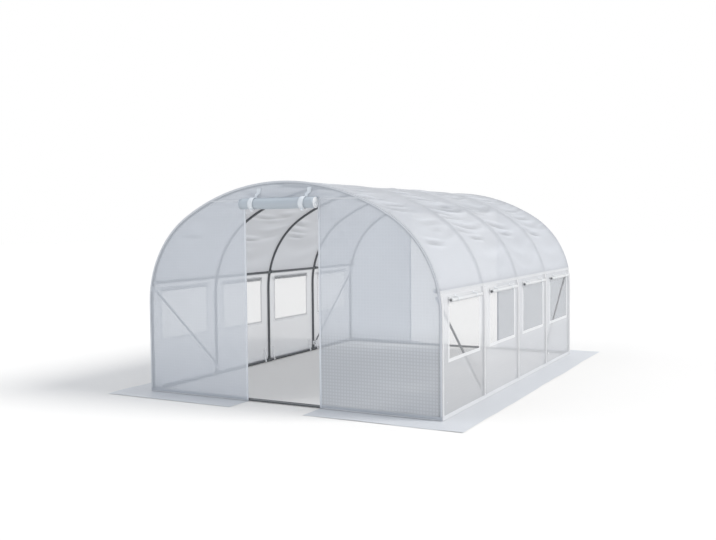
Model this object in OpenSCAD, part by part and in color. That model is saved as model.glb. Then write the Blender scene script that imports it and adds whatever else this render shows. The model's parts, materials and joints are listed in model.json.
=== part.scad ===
// Polytunnel greenhouse: five bent steel hoops on posts, with rails, braces, clamps and clips,
// under a sewn film cover with ground skirts, roll-up doors at both ends and four netted windows a side.
// Millimetres, +Z up from the ground, +Y along the tunnel to the back, +X to the right.

/* [Tunnel] */
// Width over the frame and its fittings
frame_w = 3000; // [2600:10:3400]
// Length over the frame and its fittings
frame_l = 4000; // [3400:10:5000]
// Height of the frame at the crown
frame_h = 1960; // [1700:5:2300]
// Radius of the outline's bends at the shoulders
haunch_r = 957; // [800:1:1150]
// How much higher the crown rises than the radius of the shoulder bends
crown_lift = 158; // [120:1:220]

/* [Tubes] */
// Outside diameter of hoops, posts and rails
tube_d = 25; // [20:0.5:30]
// Wall of hoops, posts and rails
tube_t = 1.5; // [1:0.1:2.5]
// Length of a hoop's straight leg, down to the post that it slides over
leg_l = 145; // [100:5:250]
// Length of the reduced post end inside the hoop
spigot_l = 60; // [30:1:90]
// Height of the shoulder rails above the foot of the bends
shoulder_rise = 195; // [150:5:260]
// Outside diameter of the corner braces
brace_d = 20; // [16:0.5:25]
// Wall of the corner braces
brace_t = 1.5; // [1:0.1:2.5]
// Gap between a shoulder clamp and the brace clamp below it
brace_top_gap = 14; // [5:1:60]
// Gap between a post's socket and the brace clamp above it
brace_foot_gap = 12; // [5:1:60]
// How far a brace runs past each crossing
brace_over = 8; // [2:1:9]

/* [Fittings] */
// Wall of the sleeves and clamps
fit_t = 2.5; // [2:0.1:4]
// Clearance of a tube in its fitting
fit_gap = 0.3; // [0.2:0.05:0.5]
// Length of a foot sleeve along the base rail
sleeve_l = 90; // [70:1:120]
// Height of the post socket above the base rail's axis
socket_h = 45; // [30:1:50]
// Length of a clamp along each tube
clamp_l = 46; // [34:1:56]
// Length of a snap clip on the base rail
clip_l = 28; // [16:1:40]
// Distance from a post to the middle of each snap clip
clip_x = 90; // [80:1:150]
// Width of the slot of a snap clip
clip_slot = 18; // [12:0.5:20]
// Thickness of an end plug's head
plug_t = 4; // [2:0.5:8]
// Depth of an end plug in its tube
plug_l = 22; // [12:1:40]

/* [Cover] */
// Thickness of the film
film_t = 2; // [1.5:0.1:3]
// Slack between frame and film
film_gap = 0.3; // [0.2:0.05:0.6]
// Width of the skirt on the ground
skirt_w = 289; // [150:1:400]
// How far the seam between roof and side walls lies below the shoulder rails' axes
seam_drop = 8; // [2:1:30]

/* [Doors] */
// Clear width of the front doorway
front_door_w = 745; // [600:5:900]
// Clear width of the back doorway
back_door_w = 1180; // [700:5:1200]
// Height of the frame over both doorways and over the seam beside them
door_head = 155; // [140:5:250]
// Diameter of a rolled-up door
door_roll_d = 100; // [70:1:120]
// Diameter of the hollow in a rolled-up door
door_core_d = 34; // [20:1:50]
// How far a rolled-up door reaches past the doorway on each side
door_roll_over = 8; // [2:1:15]
// How far the roll's middle hangs below the door head
door_roll_drop = 38; // [20:1:60]
// Distance of each door tie from the doorway's middle
tie_x = 258; // [150:1:300]
// Width of a door tie
tie_w = 38; // [15:1:50]
// Thickness of the door and window ties
tie_t = 2; // [1.5:0.1:3]
// Height of a tie's sewn end above the door head
tie_rise = 92; // [70:1:110]
// Width of the zip tape along each jamb
zip_w = 18; // [12:1:30]
// Thickness of the zip tape
zip_t = 2; // [1:0.1:2]

/* [Windows] */
// Width of a window
window_w = 700; // [400:5:780]
// Height of the wall between a window and the roof's seam
window_head = 72; // [50:1:120]
// Height of the window sill above the ground
window_sill = 480; // [350:5:560]
// Thickness of the insect net
net_t = 1; // [0.5:0.1:1.5]
// Overlap of the net behind the window's edge
net_lap = 15; // [8:1:25]
// Diameter of a rolled-up window flap
flap_d = 34; // [26:1:60]
// Diameter of the hollow in a rolled-up flap
flap_core_d = 22; // [15:1:36]
// How far a rolled-up flap reaches past the window on each side
flap_over = 12; // [2:1:25]
// Distance of each flap tie from the window's middle
flap_tie_y = 215; // [100:1:280]
// Width of a flap tie
flap_tie_w = 18; // [10:1:30]

/* [Hidden] */
$fn = 96;
arc_fn = 480;
bays = 4;
cut = 1;
steel = "#6f7478";
plastic = "#eef0f1";
film = "#d7dade";
net = "#e9ebec";

// The frame's outline is a three-centred arch: two bends at the shoulders and one long crown arc.
half_w = frame_w / 2;
half_l = frame_l / 2;
arch_rise = haunch_r + crown_lift;
spring_h = frame_h - arch_rise;
haunch_x = half_w - haunch_r;
crown_r = (haunch_x * haunch_x + arch_rise * arch_rise - haunch_r * haunch_r) / (2 * crown_lift);
crown_z = frame_h - crown_r;
bend_a = acos(haunch_x / (crown_r - haunch_r));

// Heights that follow the arch.
joint_h = spring_h - leg_l;
shoulder_h = spring_h + shoulder_rise;
seam_h = shoulder_h - seam_drop;
window_top = seam_h - window_head;
door_h = frame_h - door_head;

// Tube axes lie inside that outline by the radius of a fitting.
fit_r = tube_d / 2 + fit_gap + fit_t;
axis_x = half_w - fit_r;
axis_y = half_l - fit_r;
bay = 2 * axis_y / bays;
hoop_rows = [for (i = [0 : bays]) -axis_y + i * bay];
window_rows = [for (i = [0 : bays - 1]) -axis_y + (i + 0.5) * bay];
bore_d = tube_d + 2 * fit_gap;
hoop_r = haunch_r - fit_r;
top_r = crown_r - fit_r;
rail_drop = tube_d + fit_gap;
shoulder_r = hoop_r - rail_drop;
shoulder_a = asin((shoulder_h - spring_h) / shoulder_r);
shoulder_x = haunch_x + shoulder_r * cos(shoulder_a);
ridge_z = frame_h - fit_r - rail_drop;
post_foot = fit_r + tube_d / 2 + fit_gap;
corner_stop = tube_d / 2 + fit_gap;
saddle_bow = clamp_l * clamp_l / (8 * hoop_r);

// A brace runs inside the tubes, from the end hoop down to the foot of the next post.
brace_top_h = shoulder_h - clamp_l - brace_top_gap;
brace_foot_h = fit_r + socket_h + brace_foot_gap + clamp_l / 2;
brace_off = tube_d / 2 + fit_gap + brace_d / 2;
brace_r = brace_d / 2 + fit_gap + fit_t;
brace_top_r = hoop_r - brace_off;
brace_top_a = asin((brace_top_h - spring_h) / brace_top_r);
brace_top = [haunch_x + brace_top_r * cos(brace_top_a), -axis_y, brace_top_h];
brace_foot = [axis_x - brace_off, -axis_y + bay, brace_foot_h];
brace_run = brace_top - brace_foot;
brace_l = norm(brace_run);

// Faces of the cover.
wall_x = half_w + film_gap;
wall_y = half_l + film_gap;
outer_x = wall_x + film_t;
outer_y = wall_y + film_t;
roll_y = outer_y + 2 * fit_gap + tie_t + door_roll_d / 2;
roll_z = door_h - door_roll_drop;
flap_r = haunch_r + film_gap + film_t + 2 * fit_gap + tie_t + flap_d / 2;
flap_a = asin((window_top - spring_h) / flap_r);

// A tube of the frame, standing on the XY plane.
module tube(length, d = tube_d, wall = tube_t) {
    difference() {
        cylinder(d = d, h = length);
        translate([0, 0, -cut]) cylinder(d = d - 2 * wall, h = length + 2 * cut);
    }
}

// The same tube along +Y, from y0 to y1.
module tube_along_y(x, z, y0, y1) {
    translate([x, y0, z]) rotate([-90, 0, 0]) tube(y1 - y0);
}

// Part of a bent tube round a centre in the XZ plane, from one angle to another.
module bend(r, from, to) {
    rotate([90, 0, 0]) rotate([0, 0, from]) rotate_extrude(angle = to - from, $fn = arc_fn)
        translate([r, 0]) difference() {
            circle(d = tube_d, $fn = 48);
            circle(d = tube_d - 2 * tube_t, $fn = 48);
        }
}

// Half the butt joint between two bent tubes, as an angle on a radius.
function joint_turn(r) = fit_gap / 2 / r * 180 / PI;

// One hoop of three tubes: a straight leg with its shoulder bend on each side, and the crown.
module arch(y) {
    color(steel) translate([0, y, 0]) {
        for (side = [0, 1]) mirror([side, 0, 0]) {
            translate([axis_x, 0, joint_h]) tube(leg_l);
            translate([haunch_x, 0, spring_h]) bend(hoop_r, 0, bend_a - joint_turn(hoop_r));
        }
        crown_turn = bend_a + joint_turn(top_r);
        translate([0, 0, crown_z]) bend(top_r, crown_turn, 180 - crown_turn);
    }
}

// A post with its upper end reduced to slide into the hoop.
module post() {
    spigot_d = tube_d - 2 * tube_t - 2 * fit_gap;
    neck = joint_h - tube_d / 2;
    difference() {
        union() {
            translate([0, 0, post_foot]) cylinder(d = tube_d, h = joint_h - post_foot);
            translate([0, 0, joint_h]) cylinder(d = spigot_d, h = spigot_l);
        }
        translate([0, 0, post_foot - cut]) cylinder(d = tube_d - 2 * tube_t, h = neck - post_foot + cut);
        translate([0, 0, neck - cut])
            cylinder(d = spigot_d - 2 * tube_t, h = joint_h + spigot_l - neck + 2 * cut);
    }
}

module posts(side) {
    color(steel) for (y = hoop_rows) translate([side * axis_x, y, 0]) post();
}

module long_rail(x, z) {
    color(steel) tube_along_y(x, z, -half_l + plug_t, half_l - plug_t);
}

module base_rail(side) {
    color(steel) tube_along_y(side * axis_x, fit_r, -axis_y + corner_stop, axis_y - corner_stop);
}

module sill_rail(end) {
    length = 2 * (axis_x - corner_stop);
    color(steel) translate([-length / 2, end * axis_y, fit_r]) rotate([0, 90, 0]) tube(length);
}

// Turns +Z along the front right brace, with the origin at its foot crossing.
module on_brace() {
    translate(brace_foot) rotate([0, acos(brace_run[2] / brace_l), atan2(brace_run[1], brace_run[0])])
        children();
}

module braces(side) {
    color(steel) for (end = [0, 1]) mirror([side < 0 ? 1 : 0, 0, 0]) mirror([0, end, 0])
        on_brace() translate([0, 0, -brace_over]) tube(brace_l + 2 * brace_over, brace_d, brace_t);
}

// Three-way corner: sockets for the base rail, the sill rail and the post.
module corner_foot() {
    arm = sleeve_l / 2;
    difference() {
        union() {
            sphere(r = fit_r);
            rotate([0, -90, 0]) cylinder(r = fit_r, h = arm);
            rotate([-90, 0, 0]) cylinder(r = fit_r, h = arm);
            cylinder(r = fit_r, h = socket_h);
        }
        for (turn = [[0, -90, 0], [-90, 0, 0], [0, 0, 0]])
            rotate(turn) translate([0, 0, corner_stop]) cylinder(d = bore_d, h = sleeve_l);
    }
}

module corner_feet() {
    color(steel) for (side = [0, 1], end = [0, 1]) mirror([side, 0, 0]) mirror([0, end, 0])
        translate([axis_x, -axis_y, fit_r]) corner_foot();
}

// Tee: a sleeve on the base rail with a socket for the post.
module foot_tee() {
    difference() {
        union() {
            rotate([90, 0, 0]) cylinder(r = fit_r, h = sleeve_l, center = true);
            cylinder(r = fit_r, h = socket_h);
        }
        rotate([90, 0, 0]) cylinder(d = bore_d, h = sleeve_l + 2 * cut, center = true);
        cylinder(d = bore_d, h = socket_h + cut);
    }
}

module foot_tees() {
    color(steel) for (side = [-1, 1], i = [1 : bays - 1])
        translate([side * axis_x, hoop_rows[i], fit_r]) foot_tee();
}

// The half sleeve that lies on the inner side of a hoop: hoop along X, outside of the tunnel at +Z.
module saddle(length) {
    intersection() {
        rotate([0, 90, 0]) cylinder(r = fit_r, h = length, center = true);
        translate([-length / 2, -fit_r, -fit_r]) cube([length, 2 * fit_r, fit_r]);
    }
}

module saddle_bore(length) {
    rotate([0, 90, 0]) cylinder(d = bore_d + 2 * saddle_bow, h = length + 2 * cut, center = true);
}

// Holds a long rail under hoop i. On an end hoop the sleeve stops with the rail.
module cross_clamp(i) {
    front = i == 0 ? fit_r - plug_t : clamp_l / 2;
    back = i == bays ? fit_r - plug_t : clamp_l / 2;
    difference() {
        union() {
            saddle(clamp_l);
            translate([0, -front, -rail_drop]) rotate([-90, 0, 0]) cylinder(r = fit_r, h = front + back);
            translate([-fit_r, -fit_r, -rail_drop]) cube([2 * fit_r, 2 * fit_r, rail_drop]);
        }
        saddle_bore(clamp_l);
        translate([0, 0, -rail_drop]) rotate([90, 0, 0])
            cylinder(d = bore_d, h = clamp_l + 2 * fit_r, center = true);
    }
}

module ridge_clamps() {
    color(steel) for (i = [0 : bays]) translate([0, hoop_rows[i], frame_h - fit_r]) cross_clamp(i);
}

module shoulder_clamps() {
    color(steel) for (side = [0, 1], i = [0 : bays]) mirror([side, 0, 0])
        translate([haunch_x, hoop_rows[i], spring_h]) rotate([0, 90 - shoulder_a, 0])
            translate([0, 0, hoop_r]) cross_clamp(i);
}

// Holds a brace to a tube. The saddle lies at a radius and tilt round a centre, and the sleeve
// covers the end of the brace from a place along it.
module brace_clamp(tilt, radius, centre, along) {
    module place() {
        translate(centre) rotate([0, 90 - tilt, 0]) translate([0, 0, radius]) children();
    }
    difference() {
        union() {
            place() saddle(clamp_l);
            place() translate([0, 0, -brace_off]) cylinder(r = brace_d / 2 + fit_t, h = brace_off);
            on_brace() translate([0, 0, along]) cylinder(r = brace_r, h = clamp_l);
        }
        place() saddle_bore(clamp_l);
        on_brace() translate([0, 0, along - cut])
            cylinder(d = brace_d + 2 * fit_gap, h = clamp_l + 2 * cut);
    }
}

module brace_clamps() {
    color(plastic) for (side = [0, 1], end = [0, 1]) mirror([side, 0, 0]) mirror([0, end, 0]) {
        brace_clamp(brace_top_a, hoop_r, [haunch_x, brace_top[1], spring_h], brace_l + brace_over - clamp_l);
        brace_clamp(0, axis_x, [0, brace_foot[1], brace_foot_h], -brace_over);
    }
}

// Snap clip: a sleeve with a slot below.
module rail_clip() {
    difference() {
        rotate([90, 0, 0]) cylinder(r = fit_r, h = clip_l, center = true);
        rotate([90, 0, 0]) cylinder(d = bore_d, h = clip_l + 2 * cut, center = true);
        translate([-clip_slot / 2, -clip_l / 2 - cut, -fit_r - cut])
            cube([clip_slot, clip_l + 2 * cut, fit_r + cut]);
    }
}

module rail_clips() {
    color(plastic) for (side = [-1, 1], i = [0 : bays], step = [-1, 1])
        if (i + step >= 0 && i + step <= bays)
            translate([side * axis_x, hoop_rows[i] + step * clip_x, fit_r]) rail_clip();
}

// Plug in the open end of a rail.
module rail_plug() {
    cylinder(d = tube_d, h = plug_t);
    translate([0, 0, plug_t]) cylinder(d = tube_d - 2 * tube_t - 2 * fit_gap, h = plug_l);
}

module rail_plugs() {
    places = [[0, ridge_z], [shoulder_x, shoulder_h], [-shoulder_x, shoulder_h]];
    color(plastic) for (end = [0, 1], place = places) mirror([0, end, 0])
        translate([place[0], -half_l, place[1]]) rotate([-90, 0, 0]) rail_plug();
}

// The round part of a disc that lies beyond the chord from p to q.
module segment(centre, r, p, q) {
    out = r * [q[1] - p[1], p[0] - q[0]] / norm(q - p);
    intersection() {
        translate(centre) circle(r = r, $fn = arc_fn);
        polygon([p, p + out, q + out, q]);
    }
}

// The tunnel's cross-section in the XZ plane, grown by d beyond the frame.
module section(d) {
    w = half_w + d;
    turn = [haunch_x + (haunch_r + d) * cos(bend_a), spring_h + (haunch_r + d) * sin(bend_a)];
    flip = [-turn[0], turn[1]];
    polygon([[-w, 0], [w, 0], [w, spring_h], turn, flip, [-w, spring_h]]);
    segment([haunch_x, spring_h], haunch_r + d, [w, spring_h], turn);
    segment([0, crown_z], crown_r + d, turn, flip);
    segment([-haunch_x, spring_h], haunch_r + d, flip, [-w, spring_h]);
}

// A band of the cross-section between two offsets and two heights.
module band(d0, d1, z0, z1) {
    intersection() {
        difference() {
            section(d1);
            section(d0);
        }
        translate([-half_w - d1, z0]) square([2 * (half_w + d1), z1 - z0]);
    }
}

// Draws a shape of the XZ plane from y0 to y1.
module along_y(y0, y1) {
    translate([0, y1, 0]) rotate([90, 0, 0]) linear_extrude(y1 - y0) children();
}

// Keeps one side of the tunnel.
module on_side(side) {
    intersection() {
        children();
        translate([side > 0 ? 0 : -2 * half_w, -frame_l, 0]) cube([2 * half_w, 2 * frame_l, frame_h]);
    }
}

module roof_cover() {
    color(film) along_y(-wall_y, wall_y) band(film_gap, film_gap + film_t, seam_h, frame_h + 2 * film_t);
}

module side_wall(side) {
    color(film) difference() {
        on_side(side) along_y(-wall_y, wall_y) band(film_gap, film_gap + film_t, film_t, seam_h);
        for (y = window_rows) translate([-outer_x - cut, y - window_w / 2, window_sill])
            cube([2 * (outer_x + cut), window_w, window_top - window_sill]);
    }
}

module window_nets(side) {
    color(net) on_side(side) for (y = window_rows)
        along_y(y - window_w / 2 - net_lap, y + window_w / 2 + net_lap)
            band(film_gap - net_t, film_gap, window_sill - net_lap, window_top + net_lap);
}

// Part of an end wall inside a rectangle; end is -1 at the front and 1 at the back.
module end_panel(end, x0, x1, z0, z1) {
    y = end * (wall_y + film_t / 2);
    color(film) along_y(y - film_t / 2, y + film_t / 2) intersection() {
        section(film_gap + film_t);
        translate([x0, z0]) square([x1 - x0, z1 - z0]);
    }
}

module end_wall_side(end, side, door_w) {
    x0 = side < 0 ? -outer_x : door_w / 2;
    end_panel(end, x0, x0 + outer_x - door_w / 2, film_t, door_h);
}

module end_wall_head(end) {
    end_panel(end, -outer_x, outer_x, door_h, frame_h + 2 * film_t);
}

module side_skirt(side) {
    x0 = side < 0 ? -wall_x - skirt_w : wall_x;
    color(film) translate([x0, -wall_y - skirt_w, 0]) cube([skirt_w, 2 * (wall_y + skirt_w), film_t]);
}

module end_skirts(end, door_w) {
    y0 = end < 0 ? -wall_y - skirt_w : wall_y;
    for (side = [0, 1]) mirror([side, 0, 0])
        color(film) translate([door_w / 2, y0, 0]) cube([wall_x - door_w / 2, skirt_w, film_t]);
}

// A roll of film along X or Y with its hollow middle.
module film_roll(length, d, core_d) {
    difference() {
        cylinder(d = d, h = length, center = true);
        cylinder(d = core_d, h = length + 2 * cut, center = true);
    }
}

module door_roll(end, door_w) {
    color(film) translate([0, end * roll_y, roll_z]) rotate([0, 90, 0])
        film_roll(door_w + 2 * door_roll_over, door_roll_d, door_core_d);
}

module on_flap(side, y) {
    mirror([side < 0 ? 1 : 0, 0, 0]) translate([haunch_x, y, spring_h]) rotate([0, 90 - flap_a, 0])
        translate([0, 0, flap_r]) children();
}

module flap_rolls(side) {
    color(film) for (y = window_rows) on_flap(side, y) rotate([90, 0, 0])
        film_roll(window_w + 2 * flap_over, flap_d, flap_core_d);
}

// Strap round a roll with a flat end: the roll runs along X, the wall lies at +Y and the end points to +Z.
module tie(d, width, rise) {
    r = d / 2 + fit_gap;
    rotate([0, 90, 0]) difference() {
        cylinder(r = r + tie_t, h = width, center = true);
        cylinder(r = r, h = width + 2 * cut, center = true);
    }
    translate([-width / 2, r, 0]) cube([width, tie_t, rise]);
}

module door_ties() {
    color(plastic) for (end = [0, 1], x = [-tie_x, tie_x]) mirror([0, end, 0])
        translate([x, -roll_y, roll_z]) tie(door_roll_d, tie_w, door_roll_drop + tie_rise);
}

module flap_ties() {
    color(plastic) for (side = [-1, 1], y = window_rows, step = [-flap_tie_y, flap_tie_y])
        on_flap(side, y + step) rotate([90, 0, -90]) tie(flap_d, flap_tie_w, flap_d);
}

// Zip tapes on the outer face beside both doorways.
module zips(end, door_w) {
    y0 = end < 0 ? -outer_y - zip_t : outer_y;
    for (side = [0, 1]) mirror([side, 0, 0])
        translate([door_w / 2, y0, film_t]) cube([zip_w, zip_t, door_h - film_t]);
}

module door_zips() {
    color(plastic) {
        zips(-1, front_door_w);
        zips(1, back_door_w);
    }
}

arch(hoop_rows[0]);  // front_arch
arch(hoop_rows[1]);  // arch_2
arch(hoop_rows[2]);  // arch_3
arch(hoop_rows[3]);  // arch_4
arch(hoop_rows[4]);  // back_arch
posts(-1);  // left_posts
posts(1);  // right_posts
long_rail(0, ridge_z);  // ridge_rail
long_rail(-shoulder_x, shoulder_h);  // left_shoulder_rail
long_rail(shoulder_x, shoulder_h);  // right_shoulder_rail
base_rail(-1);  // left_base_rail
base_rail(1);  // right_base_rail
sill_rail(-1);  // front_sill_rail
sill_rail(1);  // back_sill_rail
braces(-1);  // left_braces
braces(1);  // right_braces
corner_feet();
foot_tees();
ridge_clamps();
shoulder_clamps();
brace_clamps();
rail_clips();
rail_plugs();
roof_cover();
side_wall(-1);  // left_wall
side_wall(1);  // right_wall
end_wall_side(-1, -1, front_door_w);  // front_wall_left
end_wall_side(-1, 1, front_door_w);  // front_wall_right
end_wall_head(-1);  // front_wall_head
end_wall_side(1, -1, back_door_w);  // back_wall_left
end_wall_side(1, 1, back_door_w);  // back_wall_right
end_wall_head(1);  // back_wall_head
side_skirt(-1);  // left_skirt
side_skirt(1);  // right_skirt
end_skirts(-1, front_door_w);  // front_skirts
end_skirts(1, back_door_w);  // back_skirts
window_nets(-1);  // left_window_nets
window_nets(1);  // right_window_nets
door_roll(-1, front_door_w);  // front_door_roll
door_roll(1, back_door_w);  // back_door_roll
flap_rolls(-1);  // left_flap_rolls
flap_rolls(1);  // right_flap_rolls
door_ties();
flap_ties();
door_zips();
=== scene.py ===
"""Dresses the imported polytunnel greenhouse.

The tubes and fittings of the frame stay as packed and get their finishes. The cover is made here as sewn
sheets: roof, walls, end walls and skirts of film, nets in the windows, rolled-up doors and flaps, ties,
straps and zips. All lengths are in metres.
"""

import sys

import json
import logging
import math
from abc import ABC, abstractmethod
from dataclasses import dataclass, replace
from enum import Enum
from typing import Any, Iterable, Sequence

import bmesh
import bpy
import numpy as np
from mathutils import Matrix, Vector


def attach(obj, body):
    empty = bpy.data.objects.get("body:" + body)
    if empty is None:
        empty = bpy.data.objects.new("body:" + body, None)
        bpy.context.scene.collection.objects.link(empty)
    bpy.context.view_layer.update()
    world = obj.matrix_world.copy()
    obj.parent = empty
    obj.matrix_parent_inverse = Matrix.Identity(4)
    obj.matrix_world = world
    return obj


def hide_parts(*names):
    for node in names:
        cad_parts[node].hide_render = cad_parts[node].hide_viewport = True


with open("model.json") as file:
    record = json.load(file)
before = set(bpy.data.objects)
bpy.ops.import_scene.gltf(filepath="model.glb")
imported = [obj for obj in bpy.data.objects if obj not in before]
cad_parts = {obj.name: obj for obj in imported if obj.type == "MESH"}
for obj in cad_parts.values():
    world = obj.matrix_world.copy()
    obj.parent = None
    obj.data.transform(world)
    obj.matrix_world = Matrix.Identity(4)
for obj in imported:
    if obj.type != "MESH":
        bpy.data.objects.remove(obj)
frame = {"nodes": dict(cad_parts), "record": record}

LOG = logging.getLogger("polytunnel")
ROOT = "root"
PAINTED_FOLD_SHADE = "crease"
UP = (0.0, 0.0, 1.0)
DOWN = (0.0, 0.0, -1.0)
SMOOTH_ANGLE = math.radians(35)
SAME_WAY = 0.9
BEAD_TIP = 0.1

Triple = tuple[float, float, float]
Range = tuple[float, float]
Piece = bpy.types.Object


class Named(Enum):
    """An option that gives its name to pieces and nodes."""

    @property
    def word(self) -> str:
        """The name in small letters."""
        return self.name.lower()


class Side(Named):
    """A long side of the tunnel, by the sign of its X."""

    RIGHT = 1
    LEFT = -1


class End(Named):
    """An end of the tunnel, by the sign of its Y."""

    FRONT = -1
    BACK = 1


class Slot(Enum):
    """The record's material slots."""

    STEEL = "steel_tube"
    PLASTIC = "white_plastic"
    COVER = "cover_film"
    SKIRT = "skirt_film"
    NET = "insect_net"
    ROLL = "rolled_film"
    TAPE = "strap_tape"


# Shader expressions


class Value:
    """A socket in an expression. Each operator adds a Math node."""

    def __init__(self, graph: "Graph", socket: bpy.types.NodeSocket) -> None:
        """Keeps the socket and its graph."""
        self.graph = graph
        self.socket = socket

    def math(self, operation: str, *inputs: "Value | float") -> "Value":
        """A Math node on inputs in order, or on this value alone."""
        return self.graph.node("ShaderNodeMath", {"operation": operation}, dict(enumerate(inputs or (self,))))

    def __add__(self, other: "Value | float") -> "Value":
        """Sum."""
        return self.math("ADD", self, other)

    __radd__ = __add__

    def __sub__(self, other: "Value | float") -> "Value":
        """Difference."""
        return self.math("SUBTRACT", self, other)

    def __rsub__(self, other: "Value | float") -> "Value":
        """Difference from a number."""
        return self.math("SUBTRACT", other, self)

    def __mul__(self, other: "Value | float") -> "Value":
        """Product."""
        return self.math("MULTIPLY", self, other)

    __rmul__ = __mul__

    def __truediv__(self, other: "Value | float") -> "Value":
        """Quotient."""
        return self.math("DIVIDE", self, other)

    def __rtruediv__(self, other: "Value | float") -> "Value":
        """Quotient of a number."""
        return self.math("DIVIDE", other, self)

    def most(self, other: "Value | float") -> "Value":
        """The larger of two values."""
        return self.math("MAXIMUM", self, other)

    def step(self, low: float, high: float) -> "Value":
        """A smooth step from 0 at low to 1 at high; low may be the larger."""
        sockets = {"Value": self, "From Min": low, "From Max": high}
        return self.graph.node("ShaderNodeMapRange", {"interpolation_type": "SMOOTHSTEP"}, sockets)

    def lines(self, pitch: float, width: float) -> "Value":
        """Soft lines of a width at an even pitch, 1 on the lines and 0 between them."""
        off = (self / pitch).math("FRACT") - 0.5
        return off.math("ABSOLUTE").step(width / pitch / 2, 0.0)

    def wave(self, pitch: float) -> "Value":
        """A sine of 0 to 1 at an even pitch."""
        return (self * (2 * math.pi / pitch)).math("SINE") * 0.5 + 0.5


class Graph:
    """The node tree of one material or world."""

    def __init__(self, tree: bpy.types.NodeTree) -> None:
        """Takes over a tree and empties it."""
        self.tree = tree
        tree.nodes.clear()

    def node(
        self,
        kind: str,
        settings: dict[str, Any] | None = None,
        sockets: dict[str | int, Any] | None = None,
        out: str | int = 0,
    ) -> Value | None:
        """Adds a node.

        Args:
            kind: The node's type.
            settings: Its settings, set first.
            sockets: Values or links of its inputs, by name or number.
            out: The output to return.

        Returns:
            The output, or None for a node without one.
        """
        made = self.tree.nodes.new(kind)
        for name, value in (settings or {}).items():
            setattr(made, name, value)
        for key, value in (sockets or {}).items():
            if isinstance(value, Value):
                self.tree.links.new(value.socket, made.inputs[key])
            else:
                made.inputs[key].default_value = value
        return Value(self, made.outputs[out]) if made.outputs else None

    def outputs(self, made: Value) -> dict[str, Value]:
        """All outputs of the node that a value comes from, by name."""
        return {socket.name: Value(self, socket) for socket in made.socket.node.outputs}

    def place(self, kind: str = "Object") -> Value:
        """Texture coordinates: Object or UV."""
        return self.node("ShaderNodeTexCoord", out=kind)

    def split(self, vector: Value) -> list[Value]:
        """A vector's three parts."""
        return list(self.outputs(self.node("ShaderNodeSeparateXYZ", sockets={0: vector})).values())

    def grid(self, pitch: float, width: float) -> Value:
        """Soft crossing lines on the flat cloth."""
        across, along, _ = self.split(self.place("UV"))
        return across.lines(pitch, width).most(along.lines(pitch, width))

    def noise(self, place: Value, scale: float, detail: float = 2.0) -> Value:
        """Noise from 0 to 1, with so many patches to the metre and octaves."""
        return self.node("ShaderNodeTexNoise", sockets={"Vector": place, "Scale": scale, "Detail": detail})

    def blend(self, share: Value, first: Triple, second: Triple) -> Value:
        """A mix of two colours."""
        sockets = {0: share, 6: (*first, 1.0), 7: (*second, 1.0)}
        return self.node("ShaderNodeMix", {"data_type": "RGBA"}, sockets, out=2)

    def bump(self, height: Value, depth: float, strength: float) -> Value:
        """A normal bumped by a relief of a depth, of which a share shows."""
        sockets = {"Height": height, "Distance": depth, "Strength": strength}
        return self.node("ShaderNodeBump", sockets=sockets)

    def skin(self, colour: Value, rough: Value, others: dict[str, Any]) -> Value:
        """A Principled surface."""
        sockets = {"Base Color": colour, "Roughness": rough, **others}
        return self.node("ShaderNodeBsdfPrincipled", sockets=sockets)

    def glow(self, colour: Triple) -> Value:
        """A surface that lets light through and scatters it."""
        return self.node("ShaderNodeBsdfTranslucent", sockets={"Color": (*colour, 1.0)})

    def mix(self, share: Value | float, first: Value, second: Value) -> Value:
        """A mix of two shaders."""
        return self.node("ShaderNodeMixShader", sockets={0: share, 1: first, 2: second})

    def veil(self, cover: Value, body: Value) -> Value:
        """A body that covers a share, with the rest clear."""
        return self.mix(cover, self.node("ShaderNodeBsdfTransparent"), body)


# Finishes


class Finish(ABC):
    """A surface finish, made as a material once."""

    name: str

    @abstractmethod
    def shade(self, graph: Graph) -> Value:
        """Adds the finish's nodes and returns its shader."""

    def material(self) -> bpy.types.Material:
        """The finish as a material, made when it is first asked for.

        Returns:
            The material.
        """
        found = bpy.data.materials.get(self.name)
        if found is None:
            found = bpy.data.materials.new(self.name)
            found.use_nodes = True
            graph = Graph(found.node_tree)
            graph.node("ShaderNodeOutputMaterial", sockets={"Surface": self.shade(graph)})
        return found


def scaled(colour: Triple, share: float) -> Triple:
    """A colour times a share."""
    return tuple(part * share for part in colour)


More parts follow.
